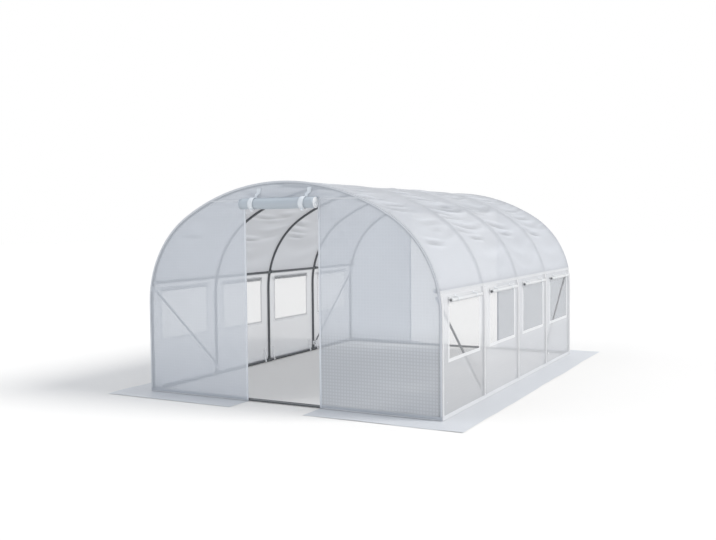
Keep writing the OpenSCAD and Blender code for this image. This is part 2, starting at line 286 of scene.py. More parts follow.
@dataclass(frozen=True)
class FilmFinish(Finish):
    """Translucent film with a scrim of threads, crinkles and faint clouds.

    Soil and painted shade leave a share of the tint. A painted shade lies low on a wall, where the shaded
    floor inside shows through; mesh is its share on the threads alone, and more painted shade is added low in
    the first bay.
    """

    name: str
    tint: Triple
    through: Triple
    cover: float
    glow: float = 0.2
    threads: float = 0.0
    pitch: float = 0.028
    thread_w: float = 0.007
    thread_soil: float = 0.06
    thread_mean: float = 0.3
    rough: float = 0.42
    specular: float = 0.35
    relief: float = 0.002
    relief_share: float = 0.35
    thread_relief: float = 2.0
    crinkle_relief: float = 0.9
    cloud_scale: float = 1.7
    cloud_edge: Range = (0.25, 0.8)
    cloud_soil: float = 0.16
    cloud_cover: float = 0.06
    crinkle_scale: float = 22.0
    crinkle_rough: float = 0.16
    soil: float = 0.7
    # Painted shade low on a wall, where the shaded floor inside shows through, with a share on the threads
    # and more low in the first bay.
    low_shade: float = 0.0
    low_shade_z: Range = (0.3, 0.56)
    mesh: float = 0.0
    bay_shade: float = 0.0
    bay_y: Range = (-0.85, -1.15)
    bay_z: Range = (0.66, 0.54)
    # Painted shade in the folds and painted highlight on their crests, and the glow that follows them.
    crease: float = 0.0
    fold_shade_glow: float = 0.8

    def shade(self, graph: Graph) -> Value:
        """A clear share, and a body that reflects and lets light through.

        Args:
            graph: The material's nodes.

        Returns:
            The shader.
        """
        place = graph.place()
        scrim = graph.grid(self.pitch, self.thread_w)
        clouds = graph.noise(place, self.cloud_scale, 3.0)
        crinkle = graph.noise(place, self.crinkle_scale)
        raised = crinkle * self.crinkle_relief + scrim * (self.threads * self.thread_relief)
        normal = graph.bump(raised, self.relief, self.relief_share)
        # A painted shade greys the tint in the folds and a painted highlight pales it on their crests; the
        # glow follows it.
        if self.crease:
            fold_shade = graph.node("ShaderNodeAttribute", {"attribute_name": PAINTED_FOLD_SHADE}, out="Fac")
            colour = graph.blend(fold_shade, *(scaled(self.tint, 1 + step) for step in (-self.crease, self.crease)))
            glow = (fold_shade * 2 - 1) * (self.glow * self.crease * self.fold_shade_glow) + self.glow
        else:
            colour, glow = self.soiled(graph, place, clouds, scrim), self.glow
        rough = crinkle * self.crinkle_rough + (self.rough - self.crinkle_rough / 2)
        skin = graph.skin(colour, rough, {"Specular IOR Level": self.specular, "Normal": normal})
        least = self.cover - self.cloud_cover / 2 - self.threads * self.thread_mean
        cover = scrim * self.threads + clouds * self.cloud_cover + least
        return graph.veil(cover, graph.mix(glow, skin, graph.glow(self.through)))

    def soiled(self, graph: Graph, place: Value, clouds: Value, scrim: Value) -> Value:
        """The tint, greyer in the clouds and on the threads, with painted shade low on a wall and low in the
        first bay.

        Args:
            graph: The material's nodes.
            place: Object coordinates.
            clouds: Noise of the clouds.
            scrim: 1 on the threads.

        Returns:
            The colour.
        """
        _, along, height = graph.split(place)
        low, high = self.low_shade_z
        soil = clouds.step(*self.cloud_edge) * self.cloud_soil + scrim * self.thread_soil
        # Painted shade low on the wall, with a share on the threads.
        soil = soil + height.step(high, low) * (scrim * self.mesh + self.low_shade)
        # Painted shade low in the first bay.
        if self.bay_shade:
            soil = soil + along.step(*self.bay_y) * height.step(*self.bay_z) * self.bay_shade
        return graph.blend(soil, self.tint, scaled(self.tint, self.soil))


@dataclass(frozen=True)
class NetFinish(Finish):
    """Fine woven net."""

    name: str
    tint: Triple
    pitch: float = 0.006
    thread_w: float = 0.0026
    thread_cover: float = 0.62
    hole_cover: float = 0.17
    slub_scale: float = 40.0
    slub_share: float = 0.92
    rough: Range = (0.6, 0.8)
    specular: float = 0.2
    glow: float = 0.5

    def shade(self, graph: Graph) -> Value:
        """Threads with nearly clear holes between.

        Args:
            graph: The material's nodes.

        Returns:
            The shader.
        """
        weave = graph.grid(self.pitch, self.thread_w)
        slub = graph.noise(graph.place(), self.slub_scale)
        colour = graph.blend(slub, self.tint, scaled(self.tint, self.slub_share))
        low, high = self.rough
        thread = graph.skin(colour, slub * (high - low) + low, {"Specular IOR Level": self.specular})
        cover = weave * (self.thread_cover - self.hole_cover) + self.hole_cover
        return graph.veil(cover, graph.mix(self.glow, thread, graph.glow(self.tint)))


@dataclass(frozen=True)
class SteelFinish(Finish):
    """Dull galvanised steel with a faint spangle and stains."""

    name: str
    tint: Triple
    rough: float = 0.32
    metal: float = 0.65
    spangle_scale: float = 140.0
    spangle_rough: float = 0.12
    stain_scale: float = 9.0
    stain_rough: float = 0.1
    stain_share: float = 0.78
    relief: float = 0.0006
    relief_share: float = 0.3

    def shade(self, graph: Graph) -> Value:
        """Metal with patches of zinc.

        Args:
            graph: The material's nodes.

        Returns:
            The shader.
        """
        place = graph.place()
        cells = {"Vector": place, "Scale": self.spangle_scale}
        patch, _, _ = graph.split(graph.node("ShaderNodeTexVoronoi", sockets=cells, out="Color"))
        stain = graph.noise(place, self.stain_scale, 4.0)
        colour = graph.blend(patch * 0.5 + stain * 0.5, scaled(self.tint, self.stain_share), self.tint)
        rough = patch * self.spangle_rough + stain * self.stain_rough + self.rough
        normal = graph.bump(stain, self.relief, self.relief_share)
        return graph.skin(colour, rough, {"Metallic": self.metal, "Normal": normal})


@dataclass(frozen=True)
class PlasticFinish(Finish):
    """Moulded plastic with a fine grain."""

    name: str
    tint: Triple
    rough: float = 0.3
    specular: float = 0.45
    grain_scale: float = 900.0
    grain_rough: float = 0.14
    flow_scale: float = 14.0
    flow_rough: float = 0.08
    flow_share: float = 0.93
    relief: float = 0.0003
    relief_share: float = 0.5

    def shade(self, graph: Graph) -> Value:
        """Grained plastic with faint flow marks.

        Args:
            graph: The material's nodes.

        Returns:
            The shader.
        """
        place = graph.place()
        grain = graph.noise(place, self.grain_scale)
        flow = graph.noise(place, self.flow_scale, 3.0)
        colour = graph.blend(flow, scaled(self.tint, self.flow_share), self.tint)
        rough = grain * self.grain_rough + flow * self.flow_rough + self.rough
        normal = graph.bump(grain, self.relief, self.relief_share)
        return graph.skin(colour, rough, {"Specular IOR Level": self.specular, "Normal": normal})


@dataclass(frozen=True)
class TapeFinish(Finish):
    """Woven tape, with a row of stitches along each edge. UV is across and along."""

    name: str
    tint: Triple
    width: float
    twill: float = 0.0032
    inset: float = 0.003
    row: Range = (0.0011, 0.0004)
    stitch_pitch: float = 0.005
    stitch_l: float = 0.0034
    stitch_soil: float = 0.3
    weave_soil: float = 0.12
    soil: float = 0.62
    rough: float = 0.62
    weave_rough: float = 0.1
    specular: float = 0.25
    relief: float = 0.0006
    relief_share: float = 0.6

    def shade(self, graph: Graph) -> Value:
        """Twill weave with sewing thread.

        Args:
            graph: The material's nodes.

        Returns:
            The shader.
        """
        across, along, _ = graph.split(graph.place("UV"))
        weave = (across + along).wave(self.twill) * (across - along).wave(self.twill)
        edge = across.math("ABSOLUTE") - (self.width / 2 - self.inset)
        stitch = edge.math("ABSOLUTE").step(*self.row) * along.lines(self.stitch_pitch, self.stitch_l)
        soiled = stitch * self.stitch_soil + weave * self.weave_soil
        colour = graph.blend(soiled, self.tint, scaled(self.tint, self.soil))
        normal = graph.bump(weave * 0.6 + stitch * 0.4, self.relief, self.relief_share)
        rough = weave * self.weave_rough + self.rough
        return graph.skin(colour, rough, {"Specular IOR Level": self.specular, "Normal": normal})


@dataclass(frozen=True)
class FloorFinish(Finish):
    """Plain pale matt floor that keeps the shadow, with hardly visible clouds."""

    name: str
    tint: Triple
    cloud_scale: float = 0.8
    cloud_share: float = 0.995

    def shade(self, graph: Graph) -> Value:
        """A matt surface.

        Args:
            graph: The material's nodes.

        Returns:
            The shader.
        """
        clouds = graph.noise(graph.place(), self.cloud_scale)
        colour = graph.blend(clouds, self.tint, scaled(self.tint, self.cloud_share))
        return graph.node("ShaderNodeBsdfDiffuse", sockets={"Color": colour})


# One film in three tints, as painted light: paler and bluer on the end walls, which lie in shade, and darker
# on the side walls and the roof, where the key light falls.
FILM = FilmFinish("scrim_film", (0.742, 0.784, 0.843), (0.62, 0.647, 0.688), 0.765, 0.34, threads=0.035)
# Film with painted shade low on the front right panel, heavier on its threads.
SHADED_LOW_FILM = replace(
    FILM, name="soiled_film", soil=0.58, low_shade=0.5, low_shade_z=(0.44, 0.78), mesh=0.7, thread_w=0.015
)
# The side walls' film has painted shade low down.
SIDE = FilmFinish("side_film", (0.66, 0.67, 0.69), (0.86, 0.87, 0.89), 0.78, 0.38, threads=0.025, low_shade=0.3)
# More painted shade low in the right wall's first bay.
RIGHT_SIDE = replace(SIDE, name="right_side_film", bay_shade=0.62)
# The roof's darker tint is painted light.
ROOF = FilmFinish(
    "roof_film_finish",
    tint=(0.575, 0.597, 0.637),
    through=(0.64, 0.65, 0.675),
    cover=0.92,
    glow=0.35,
    threads=0.01,
    rough=0.37,
    relief=0.001,
    crease=0.36,
)
DOUBLED = FilmFinish("doubled_film", (0.88, 0.885, 0.895), (0.78, 0.79, 0.80), 0.96, 0.4, threads=0.03)
SHOULDER = replace(DOUBLED, name="shoulder_band", tint=(0.77, 0.78, 0.795))
HEM = FilmFinish("hem_film", (0.775, 0.785, 0.805), (0.6, 0.62, 0.65), 0.96, threads=0.02)
FOOT_HEM = FilmFinish("foot_hem", (0.63, 0.66, 0.705), (0.5, 0.52, 0.55), 0.97)
SEAM = FilmFinish("sewn_seam", (0.74, 0.765, 0.80), (0.50, 0.52, 0.55), 0.95, 0.12)
SKIRT = FilmFinish("ground_film", (0.80, 0.82, 0.85), (0.5, 0.53, 0.57), 0.93, 0.15, threads=0.04)
DOOR_ROLL = FilmFinish("wound_film", (0.60, 0.66, 0.715), (0.5, 0.54, 0.58), 1.03)
FLAP_ROLL = FilmFinish("wound_flap", (0.74, 0.75, 0.76), (0.5, 0.52, 0.54), 1.03)
NET = NetFinish("woven_net", (0.535, 0.54, 0.55))
PIPING = PlasticFinish("sewn_piping", (0.70, 0.71, 0.725), rough=0.4)
CUT_EDGE = PlasticFinish("cut_film_edge", (0.92, 0.925, 0.93), rough=0.45)
PLASTIC = PlasticFinish("moulded_plastic", (0.84, 0.85, 0.86))
ZIP_COIL = PlasticFinish("zip_coil", (0.74, 0.77, 0.80))
STEEL = SteelFinish("zinc_tube", (0.17, 0.18, 0.19))
# A paler copy of the tube steel for the braces, painted light: it stands in for light on the lit braces.
BRACE_STEEL_PAINTED_LIT = SteelFinish("bright_zinc_tube", (0.28, 0.29, 0.30))
ZINC = SteelFinish("zinc_screw", (0.5, 0.51, 0.52))
TIE_TAPE = TapeFinish("tie_tape", (0.76, 0.80, 0.835), width=0.046)
FLAP_TAPE = TapeFinish("flap_tape", (0.80, 0.83, 0.86), width=0.016)
STRAP_TAPE = TapeFinish("flat_tape", (0.88, 0.89, 0.90), width=0.022)
ZIP_TAPE = TapeFinish("zip_tape", (0.74, 0.77, 0.81), width=0.018)
FLOOR = FloorFinish("pale_floor", (0.888, 0.873, 0.848))


# Making meshes


def choose(*pieces: Piece) -> None:
    """Deselects everything, then selects pieces and makes the first active.

    Args:
        pieces: The pieces, or none.
    """
    bpy.ops.object.select_all(action="DESELECT")
    for piece in pieces:
        piece.select_set(True)
    if pieces:
        bpy.context.view_layer.objects.active = pieces[0]


def apply(piece: Piece, kind: str, **settings: Any) -> Piece:
    """Adds a modifier and applies it.

    Args:
        piece: The piece.
        kind: The modifier's type.
        settings: The modifier's settings.

    Returns:
        The piece.
    """
    choose(piece)
    made = piece.modifiers.new(kind.lower(), kind)
    for name, value in settings.items():
        setattr(made, name, value)
    bpy.ops.object.modifier_apply(modifier=made.name)
    return piece


def pick_faces(piece: Piece, way: Triple) -> None:
    """Selects only the faces that look in a direction.

    Args:
        piece: The piece, in edit mode.
        way: The direction.
    """
    bpy.ops.mesh.select_all(action="DESELECT")
    edit = bmesh.from_edit_mesh(piece.data)
    for face in edit.faces:
        face.select = face.normal.dot(way) > SAME_WAY
    bmesh.update_edit_mesh(piece.data)


def new_piece(name: str, verts: np.ndarray, faces: np.ndarray, uv: np.ndarray | None = None) -> Piece:
    """A smooth mesh object at the origin.

    Args:
        name: The piece's name.
        verts: Points, one row each.
        faces: Point numbers of the faces.
        uv: Texture places of the points.

    Returns:
        The object.
    """
    used, faces = np.unique(faces, return_inverse=True)
    faces = faces.reshape(-1, 4)
    mesh = bpy.data.meshes.new(name)
    mesh.from_pydata(verts[used].tolist(), [], faces.tolist())
    if uv is not None:
        layer = mesh.uv_layers.new(name="flat")
        layer.data.foreach_set("uv", uv[used][faces.ravel()].astype(np.float32).ravel())
    mesh.polygons.foreach_set("use_smooth", np.ones(len(mesh.polygons), bool))
    mesh.update()
    piece = bpy.data.objects.new(name, mesh)
    bpy.context.scene.collection.objects.link(piece)
    return piece


def bell(place: np.ndarray) -> np.ndarray:
    """1 at 0, falling smoothly to 0 on both sides."""
    return np.exp(-(place**2))


def ramp(place: np.ndarray, length: float) -> np.ndarray:
    """A straight rise from 0 at 0 to 1 at a length."""
    return np.clip(place / length, 0.0, 1.0)


def grid(rows: np.ndarray, columns: np.ndarray) -> list[np.ndarray]:
    """Rows and columns spread over a grid."""
    return np.broadcast_arrays(rows[:, None], columns[None, :])


def lengths(line: np.ndarray) -> np.ndarray:
    """Length along a line up to each of its points."""
    return np.concatenate([[0.0], np.cumsum(np.linalg.norm(np.diff(line, axis=0), axis=1))])


def stops(edges: Sequence[float], step: float) -> np.ndarray:
    """Even steps between edges that all stay in the row.

    Args:
        edges: Places in rising order.
        step: Largest step.

    Returns:
        All the places.
    """
    parts = []
    for low, high in zip(edges, edges[1:]):
        parts.append(np.linspace(low, high, max(2, math.ceil((high - low) / step) + 1))[:-1])
    return np.concatenate([*parts, [edges[-1]]])


def curve(points: Sequence[Sequence[float]], count: int) -> np.ndarray:
    """A smooth line through points.

    Args:
        points: The points.
        count: Points of the line.

    Returns:
        The line's points.
    """
    knots = np.array(points, float)
    knots = np.concatenate([2 * knots[:1] - knots[1:2], knots, 2 * knots[-1:] - knots[-2:-1]])
    spans = len(knots) - 3
    place = np.linspace(0, spans, count)
    index = np.minimum(place.astype(int), spans - 1)
    t = (place - index)[:, None]
    a, b, c, d = (knots[index + i] for i in range(4))
    return 0.5 * (2 * b + (c - a) * t + (2 * a - 5 * b + 4 * c - d) * t**2 + (3 * b - a - 3 * c + d) * t**3)


@dataclass
class Patch:
    """Part of a sheet: a grid of points with its places on the flat cloth.

    The cloth faces to the side from which its columns run left to right while its rows run up.
    """

    points: np.ndarray
    flat: np.ndarray
    keep: np.ndarray | None = None
    closed: bool = False

    def faces(self) -> np.ndarray:
        """Point numbers of the patch's faces.

        Returns:
            A row of four for each face.
        """
        rows, cols = self.points.shape[:2]
        index = np.arange(rows * cols).reshape(rows, cols)
        if self.closed:
            index = np.concatenate([index, index[:, :1]], 1)
        quads = np.stack([index[:-1, :-1], index[:-1, 1:], index[1:, 1:], index[1:, :-1]], -1)
        return quads[self.keep] if self.keep is not None else quads.reshape(-1, 4)

    def facing(self, way: Triple) -> "Patch":
        """The same whole patch, with its columns turned round if it faces away from a direction.

        Args:
            way: The direction.

        Returns:
            A patch that faces that way.
        """
        side = np.cross(self.points[0, 1] - self.points[0, 0], self.points[1, 0] - self.points[0, 0])
        return self if side @ np.array(way) >= 0 else Patch(self.points[:, ::-1], self.flat[:, ::-1])


def sew(name: str, patches: Sequence[Patch]) -> Piece:
    """One piece from patches.

    Args:
        name: The piece's name.
        patches: Its patches.

    Returns:
        The object.
    """
    verts, flats, faces, base = [], [], [], 0
    for patch in patches:
        verts.append(patch.points.reshape(-1, 3))
        flats.append(patch.flat.reshape(-1, 2))
        faces.append(patch.faces() + base)
        base += len(verts[-1])
    return new_piece(name, np.concatenate(verts), np.concatenate(faces), np.concatenate(flats))


def strap(line: np.ndarray, across: Triple, width: np.ndarray | float) -> Patch:
    """A flat tape along a line.

    Args:
        line: Points of the tape's middle.
        across: Direction across the tape.
        width: Width, for all points or one each.

    Returns:
        The tape as a patch, with flat places across and along.
    """
    half = np.broadcast_to(np.asarray(width, float), len(line))[:, None] / 2
    shares = np.linspace(-1.0, 1.0, 5)
    points = line[:, None] + np.array(across) * (half[:, None] * shares[None, :, None])
    flat = np.stack([half * shares, np.broadcast_to(lengths(line)[:, None], points.shape[:2])], -1)
    return Patch(points, flat)


def bead(line: np.ndarray, radius: float, sides: int = 8) -> Patch:
    """A thin round bead along a level line.

    Args:
        line: Points of the bead's middle.
        radius: Its radius; the ends run out almost to a point.
        sides: Faces round it.

    Returns:
        The bead as a closed patch.
    """
    ahead = np.gradient(line, axis=0)
    ahead /= np.linalg.norm(ahead, axis=1)[:, None]
    across = np.cross(ahead, UP)
    up = np.cross(across, ahead)
    angle = np.linspace(0, 2 * math.pi, sides + 1)[:-1]
    size = np.full(len(line), radius)
    size[[0, -1]] = radius * BEAD_TIP
    ring = across[:, None] * np.cos(angle)[None, :, None] + up[:, None] * np.sin(angle)[None, :, None]
    points = line[:, None] + ring * size[:, None, None]
    return Patch(points, np.zeros((*points.shape[:2], 2)), closed=True)


def dress(piece: Piece, finish: Finish, slot: Slot, nodes: Iterable[str] = (), report: str = "sewn") -> Piece:
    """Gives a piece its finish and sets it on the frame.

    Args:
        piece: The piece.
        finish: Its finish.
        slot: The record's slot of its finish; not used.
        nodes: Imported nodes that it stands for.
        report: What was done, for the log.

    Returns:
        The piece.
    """
    if not piece.data.materials:
        piece.data.materials.append(finish.material())
    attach(piece, ROOT)
    if nodes:
        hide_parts(*nodes)
    LOG.info("%s: %s, %d faces", piece.name, report, len(piece.data.polygons))
    return piece


def copies(name: str, model: Piece, places: Sequence[Matrix]) -> Piece:
    """Copies a model to places and joins the copies.

    Args:
        name: Name of the joined piece.
        model: The model, which is used up.
        places: Where the copies go.

    Returns:
        The joined piece, at the origin.
    """
    made = []
    for place in places:
        copy = model.copy()
        copy.data = model.data.copy()
        copy.data.transform(place)
        bpy.context.scene.collection.objects.link(copy)
        made.append(copy)
    bpy.data.objects.remove(model)
    choose(*made)
    bpy.ops.object.join()
    made[0].name = made[0].data.name = name
    bpy.ops.object.shade_smooth_by_angle(angle=SMOOTH_ANGLE)
    return made[0]


def sewn(name: str, patches: Sequence[Patch], finish: Finish, slot: Slot, *nodes: str) -> Piece:
    """Sews patches into a piece with its finish, set on the frame for the nodes that it stands for."""
    return dress(sew(name, patches), finish, slot, nodes)


class Part(ABC):
    """A sub-assembly of the scene."""

    @abstractmethod
    def build(self) -> list[Piece]:
        """Makes the pieces, sets them on the frame and returns them."""


# The tunnel's shape


@dataclass(frozen=True)
class Tunnel:
    """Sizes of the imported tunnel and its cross-section.

    The section runs up a post, round the bend of a shoulder and over one long crown arc.
    """

    half_w: float = 1.5
    half_l: float = 2.0
    height: float = 1.96
    rise: float = 1.115
    lift: float = 0.158
    bays: int = 4
    inset: float = 0.0153
    film: float = 0.0013
    seam_z: float = 1.032
    door_z: float = 1.805
    sill_z: float = 0.48
    window_z: float = 0.96
    window_w: float = 0.7
    skirt_w: float = 0.289
    foot_z: float = 0.003

    @property
    def spring(self) -> float:
        """Height at which the bend starts."""
        return self.height - self.rise

    @property
    def bend_r(self) -> float:
        """Radius of the shoulder bend."""
        return self.rise - self.lift

    @property
    def bend_x(self) -> float:
        """Distance of the bend's centre from the middle."""
        return self.half_w - self.bend_r

    @property
    def crown_r(self) -> float:
        """Radius of the crown arc."""
        return (self.bend_x**2 + self.rise**2 - self.bend_r**2) / (2 * self.lift)

    @property
    def crown_z(self) -> float:
        """Height of the crown arc's centre."""
        return self.height - self.crown_r

    @property
    def bend_a(self) -> float:
        """Angle of the shoulder bend."""
        return math.acos(self.bend_x / (self.crown_r - self.bend_r))

    @property
    def ridge_run(self) -> float:
        """Length of the section from a foot to the ridge."""
        return self.spring + self.bend_r * self.bend_a + self.crown_r * (math.pi / 2 - self.bend_a)

    @property
    def bay(self) -> float:
        """Distance from hoop to hoop."""
        return 2 * (self.half_l - self.inset) / self.bays

    @property
    def hoops(self) -> list[float]:
        """Places of the hoops along the tunnel."""
        return [self.bay * (i - self.bays / 2) for i in range(self.bays + 1)]

    @property
    def windows(self) -> list[float]:
        """Middles of the windows along the tunnel."""
        return [self.bay * (i + 0.5 - self.bays / 2) for i in range(self.bays)]

    @property
    def end_y(self) -> float:
        """Distance of the end walls from the middle."""
        return self.half_l + self.film

    def bay_at(self, y: np.ndarray) -> tuple[np.ndarray, np.ndarray]:
        """The bays of places along the tunnel.

        Args:
            y: The places.

        Returns:
            Numbers of the bays, and shares of the way from hoop to hoop.
        """
        place = np.clip((y - self.hoops[0]) / self.bay, 0.0, self.bays)
        number = np.minimum(place.astype(int), self.bays - 1)
        return number, place - number

    def run_at(self, z: float) -> float:
        """Length of the section from the right foot up to a height below the crown arc."""
        bend = max(z - self.spring, 0.0)
        return min(z, self.spring) + self.bend_r * math.asin(bend / self.bend_r)

    def section(self, run: np.ndarray, out: np.ndarray | float) -> tuple[np.ndarray, np.ndarray]:
        """Points of the section.

        Args:
            run: Length along the section from the right foot, over the ridge, to the left foot.
            out: Distance outside the frame's envelope.

        Returns:
            Their X and Z.
        """
        left = run > self.ridge_run
        climb = np.where(left, 2 * self.ridge_run - run, run)
        bend = np.clip((climb - self.spring) / self.bend_r, 0.0, self.bend_a)
        over = np.maximum(climb - self.spring - self.bend_r * self.bend_a, 0.0) / self.crown_r
        crown = over > 0
        radius = np.where(crown, self.crown_r, self.bend_r) + out
        x = np.where(crown, 0.0, self.bend_x) + radius * np.cos(bend + over)
        z = np.where(crown, self.crown_z, np.minimum(climb, self.spring)) + radius * np.sin(bend + over)
        return np.where(left, -x, x), z

    def half_width(self, z: np.ndarray | float, out: float) -> np.ndarray:
        """Half the section's width at heights.

        Args:
            z: The heights.
            out: Distance outside the frame's envelope.

        Returns:
            The half widths.
        """
        bend_r, crown_r = self.bend_r + out, self.crown_r + out
        bend = self.bend_x + np.sqrt(np.maximum(bend_r**2 - np.maximum(z - self.spring, 0) ** 2, 0))
        crown = np.sqrt(np.maximum(crown_r**2 - (z - self.crown_z) ** 2, 0))
        return np.where(z > self.spring + bend_r * math.sin(self.bend_a), crown, bend)


TUNNEL = Tunnel()
DOOR_W = {End.FRONT: 0.745, End.BACK: 1.18}


@dataclass(frozen=True)
class Folds:
    """Soft folds of one kind that hang between two hoops; long and middle are shares of the bay.

    Half bays are numbered from the front, right before left, and those before the first have none. Crests are
    shares of a fold's depth with their places in fold widths.
    """

    seed: int
    count: int
    reach: Range
    deep: Range = (0.006, 0.019)
    wide: Range = (0.02, 0.044)
    long: Range = (0.12, 0.34)
    swag: Range = (0.02, 0.1)
    middle: Range = (0.08, 0.92)
    crowd: Range = (1.2, 1.3)
    crests: tuple[Range, Range] = ((0.6, -1.6), (0.45, 1.7))
    hoop_fade: float = 0.35
    first: int = 0

    def depth(self, number: int, down: np.ndarray, along: np.ndarray) -> np.ndarray:
        """Inward depth of the folds.

        Args:
            number: The half bay.
            down: Distance down from the ridge.
            along: Share of the bay, from hoop to hoop.

        Returns:
            The depth at each place.
        """
        rng = np.random.default_rng(self.seed + number)
        low, high = self.reach
        total = np.zeros(down.shape)
        for _ in range(self.count if number >= self.first else 0):
            start = low + (high - low) * rng.beta(*self.crowd)
            line = start + rng.uniform(*self.swag) * np.sin(np.pi * along)
            step = (down - line) / rng.uniform(*self.wide)
            length = bell((along - rng.uniform(*self.middle)) / rng.uniform(*self.long))
            crests = sum(share * bell(step - at) for share, at in self.crests)
            total += rng.uniform(*self.deep) * (bell(step) - crests) * length
        return total * np.sin(np.pi * along) ** self.hoop_fade


SWAGS = Folds(11, 17, reach=(0.08, 1.34))
SHARP_FOLD = Folds(
    91,
    1,
    reach=(1.36, 1.43),
    deep=(0.02, 0.026),
    wide=(0.018, 0.023),
    long=(0.125, 0.16),
    swag=(0.02, 0.05),
    middle=(0.28, 0.38),
)
LOW_FOLDS = Folds(
    131, 4, reach=(1.36, 1.7), deep=(0.002, 0.0055), wide=(0.045, 0.09), long=(0.2, 0.4), first=2
)
WALL_FOLDS = Folds(71, 3, reach=(2.0, 2.8), deep=(0.0004, 0.0014), wide=(0.04, 0.09))


@dataclass(frozen=True)
class CoverShape:
    """Where the long cover lies: drawn over the hoops and slack between them, less so along the ridge."""

    tunnel: Tunnel = TUNNEL
    roof_sag: float = 0.010
    roof_reach: float = 1.75
    roof_fade: float = 0.5
    ridge_share: float = 0.55
    ridge_w: float = 0.5
    wall_sag: float = 0.004
    on_hoop: float = 0.003
    end_fade: float = 0.02
    foot_fade: float = 0.07
    kinds: tuple[Folds, ...] = (SWAGS, SHARP_FOLD, LOW_FOLDS, WALL_FOLDS)

    def depth(self, run: np.ndarray, y: np.ndarray) -> np.ndarray:
        """How far the film lies inside the envelope.

        Args:
            run: Length along the section from the right foot.
            y: Place along the tunnel.

        Returns:
            The depth.
        """
        t = self.tunnel
        _, along = t.bay_at(y)
        down = np.abs(run - t.ridge_run)
        roof = ramp(self.roof_reach - down, self.roof_fade)
        ridge = self.ridge_share + (1 - self.ridge_share) * ramp(down, self.ridge_w)
        sag = (self.wall_sag + (self.roof_sag * ridge - self.wall_sag) * roof) * np.sin(np.pi * along)
        hoop = self.on_hoop * ramp(t.end_y - np.abs(y), self.end_fade)
        return (hoop + sag + self.folded(run, y)) * ramp(t.ridge_run - down, self.foot_fade)

    def folded(self, run: np.ndarray, y: np.ndarray) -> np.ndarray:
        """The folds' own share of the depth.

        Args:
            run: Length along the section from the right foot.
            y: Place along the tunnel.

        Returns:
            The depth of the folds.
        """
        bay, along = self.tunnel.bay_at(y)
        down = np.abs(run - self.tunnel.ridge_run)
        half = 2 * bay + (run > self.tunnel.ridge_run)
        total = np.zeros(run.shape)
        for number in range(2 * self.tunnel.bays):
            here = half == number
            for folds in self.kinds:
                total[here] += folds.depth(number, down[here], along[here])
        return total

    def patch(
        self, run: np.ndarray, y: np.ndarray, lift: float = 0.0, keep: np.ndarray | None = None
    ) -> Patch:
        """A patch of the cover that faces outwards, with flat places along and up.

        Args:
            run: Lengths along the section, one for each row.
            y: Places along the tunnel, one for each column.
            lift: Distance outside the film's own face.
            keep: Faces that stay, or None for all.

        Returns:
            The patch.
        """
        rows, columns = grid(run, y)
        x, z = self.tunnel.section(rows, self.tunnel.film + lift - self.depth(rows, columns))
        return Patch(np.stack([x, columns, z], -1), np.stack([columns, rows], -1), keep)


COVER = CoverShape()


# The cover


def level(value: np.ndarray, tone: Range) -> np.ndarray:
    """A value that levels off at the tone's first number, from about its second one on."""
    return tone[0] * np.tanh(value / tone[1])


@dataclass
class RoofCover(Part):
    """The roof sheet, from one shoulder seam over the ridge to the other.

    The tones set a painted shade and highlight on the film: how grey the folds and their steep flanks are,
    how pale their crests are, and how much paler it is low down.
    """

    tunnel: Tunnel = TUNNEL
    step: float = 0.0145
    band_w: float = 0.026
    band_lap: float = 0.6
    band_lift: float = 0.0011
    band_rows: int = 4
    middle_tone: float = 0.50
    low_tone: float = 0.12
    low_from: float = 1.35
    low_fade: float = 0.4
    low_most: float = 0.8
    fold_shade_tone: Range = (0.4, 0.013)
    crest_tone: Range = (0.62, 0.011)
    slope_shade_tone: Range = (0.12, 0.5)

    def build(self) -> list[Piece]:
        """Sews the roof and the doubled bands of its seams.

        Returns:
            The roof and the bands.
        """
        t = self.tunnel
        low = t.run_at(t.seam_z)
        high = 2 * t.ridge_run - low
        y = stops([-t.end_y, *t.hoops, t.end_y], self.step)
        run = stops([low, high], self.step)
        roof = sewn("roof_film", [COVER.patch(run, y)], ROOF, Slot.COVER, "roof_cover")
        # Painted shade in the roof's folds and painted highlight on their crests.
        self.paint_fold_shade(roof, *grid(run, y))
        starts = (low - self.band_w * self.band_lap, high - self.band_w * (1 - self.band_lap))
        rows = [np.linspace(start, start + self.band_w, self.band_rows) for start in starts]
        bands = [COVER.patch(row, y[::2], self.band_lift) for row in rows]
        seams = sewn("shoulder_seams", bands, SHOULDER, Slot.COVER)
        high - low
        return [roof, seams]

    def paint_fold_shade(self, roof: Piece, run: np.ndarray, y: np.ndarray) -> None:
        """Stores a painted shade and highlight for the roof's folds: grey in the folds and on their steep
        flanks, pale on their crests, paler low down.

        Args:
            roof: The roof sheet.
            run: Lengths along the section of its points.
            y: Places along the tunnel of its points.
        """
        folded = COVER.folded(run, y)
        lean = np.abs(np.gradient(folded, run[:, 0], axis=0))
        # The film is painted paler low down.
        low = (np.abs(run - self.tunnel.ridge_run) - self.low_from) / self.low_fade
        share = self.middle_tone + self.low_tone * np.clip(low, -self.low_most, self.low_most)
        # Painted shade in the folds and on their steep flanks, painted highlight on their crests.
        share = share - np.where(folded > 0, level(folded, self.fold_shade_tone), level(folded, self.crest_tone))
        share = share - level(lean, self.slope_shade_tone)
        mark = roof.data.attributes.new(PAINTED_FOLD_SHADE, "FLOAT", "POINT")
        mark.data.foreach_set("value", share.astype(np.float32).ravel())


@dataclass(frozen=True)
class Piping:
    """A round bead sewn along a wall's foot."""

    radius: float = 0.0035
    lift: float = 0.0035

    def bead(self, x: np.ndarray | float, y: np.ndarray | float) -> Patch:
        """The bead along places across and along the tunnel."""
        return bead(np.stack(np.broadcast_arrays(x, y, self.lift + self.radius), -1), self.radius)


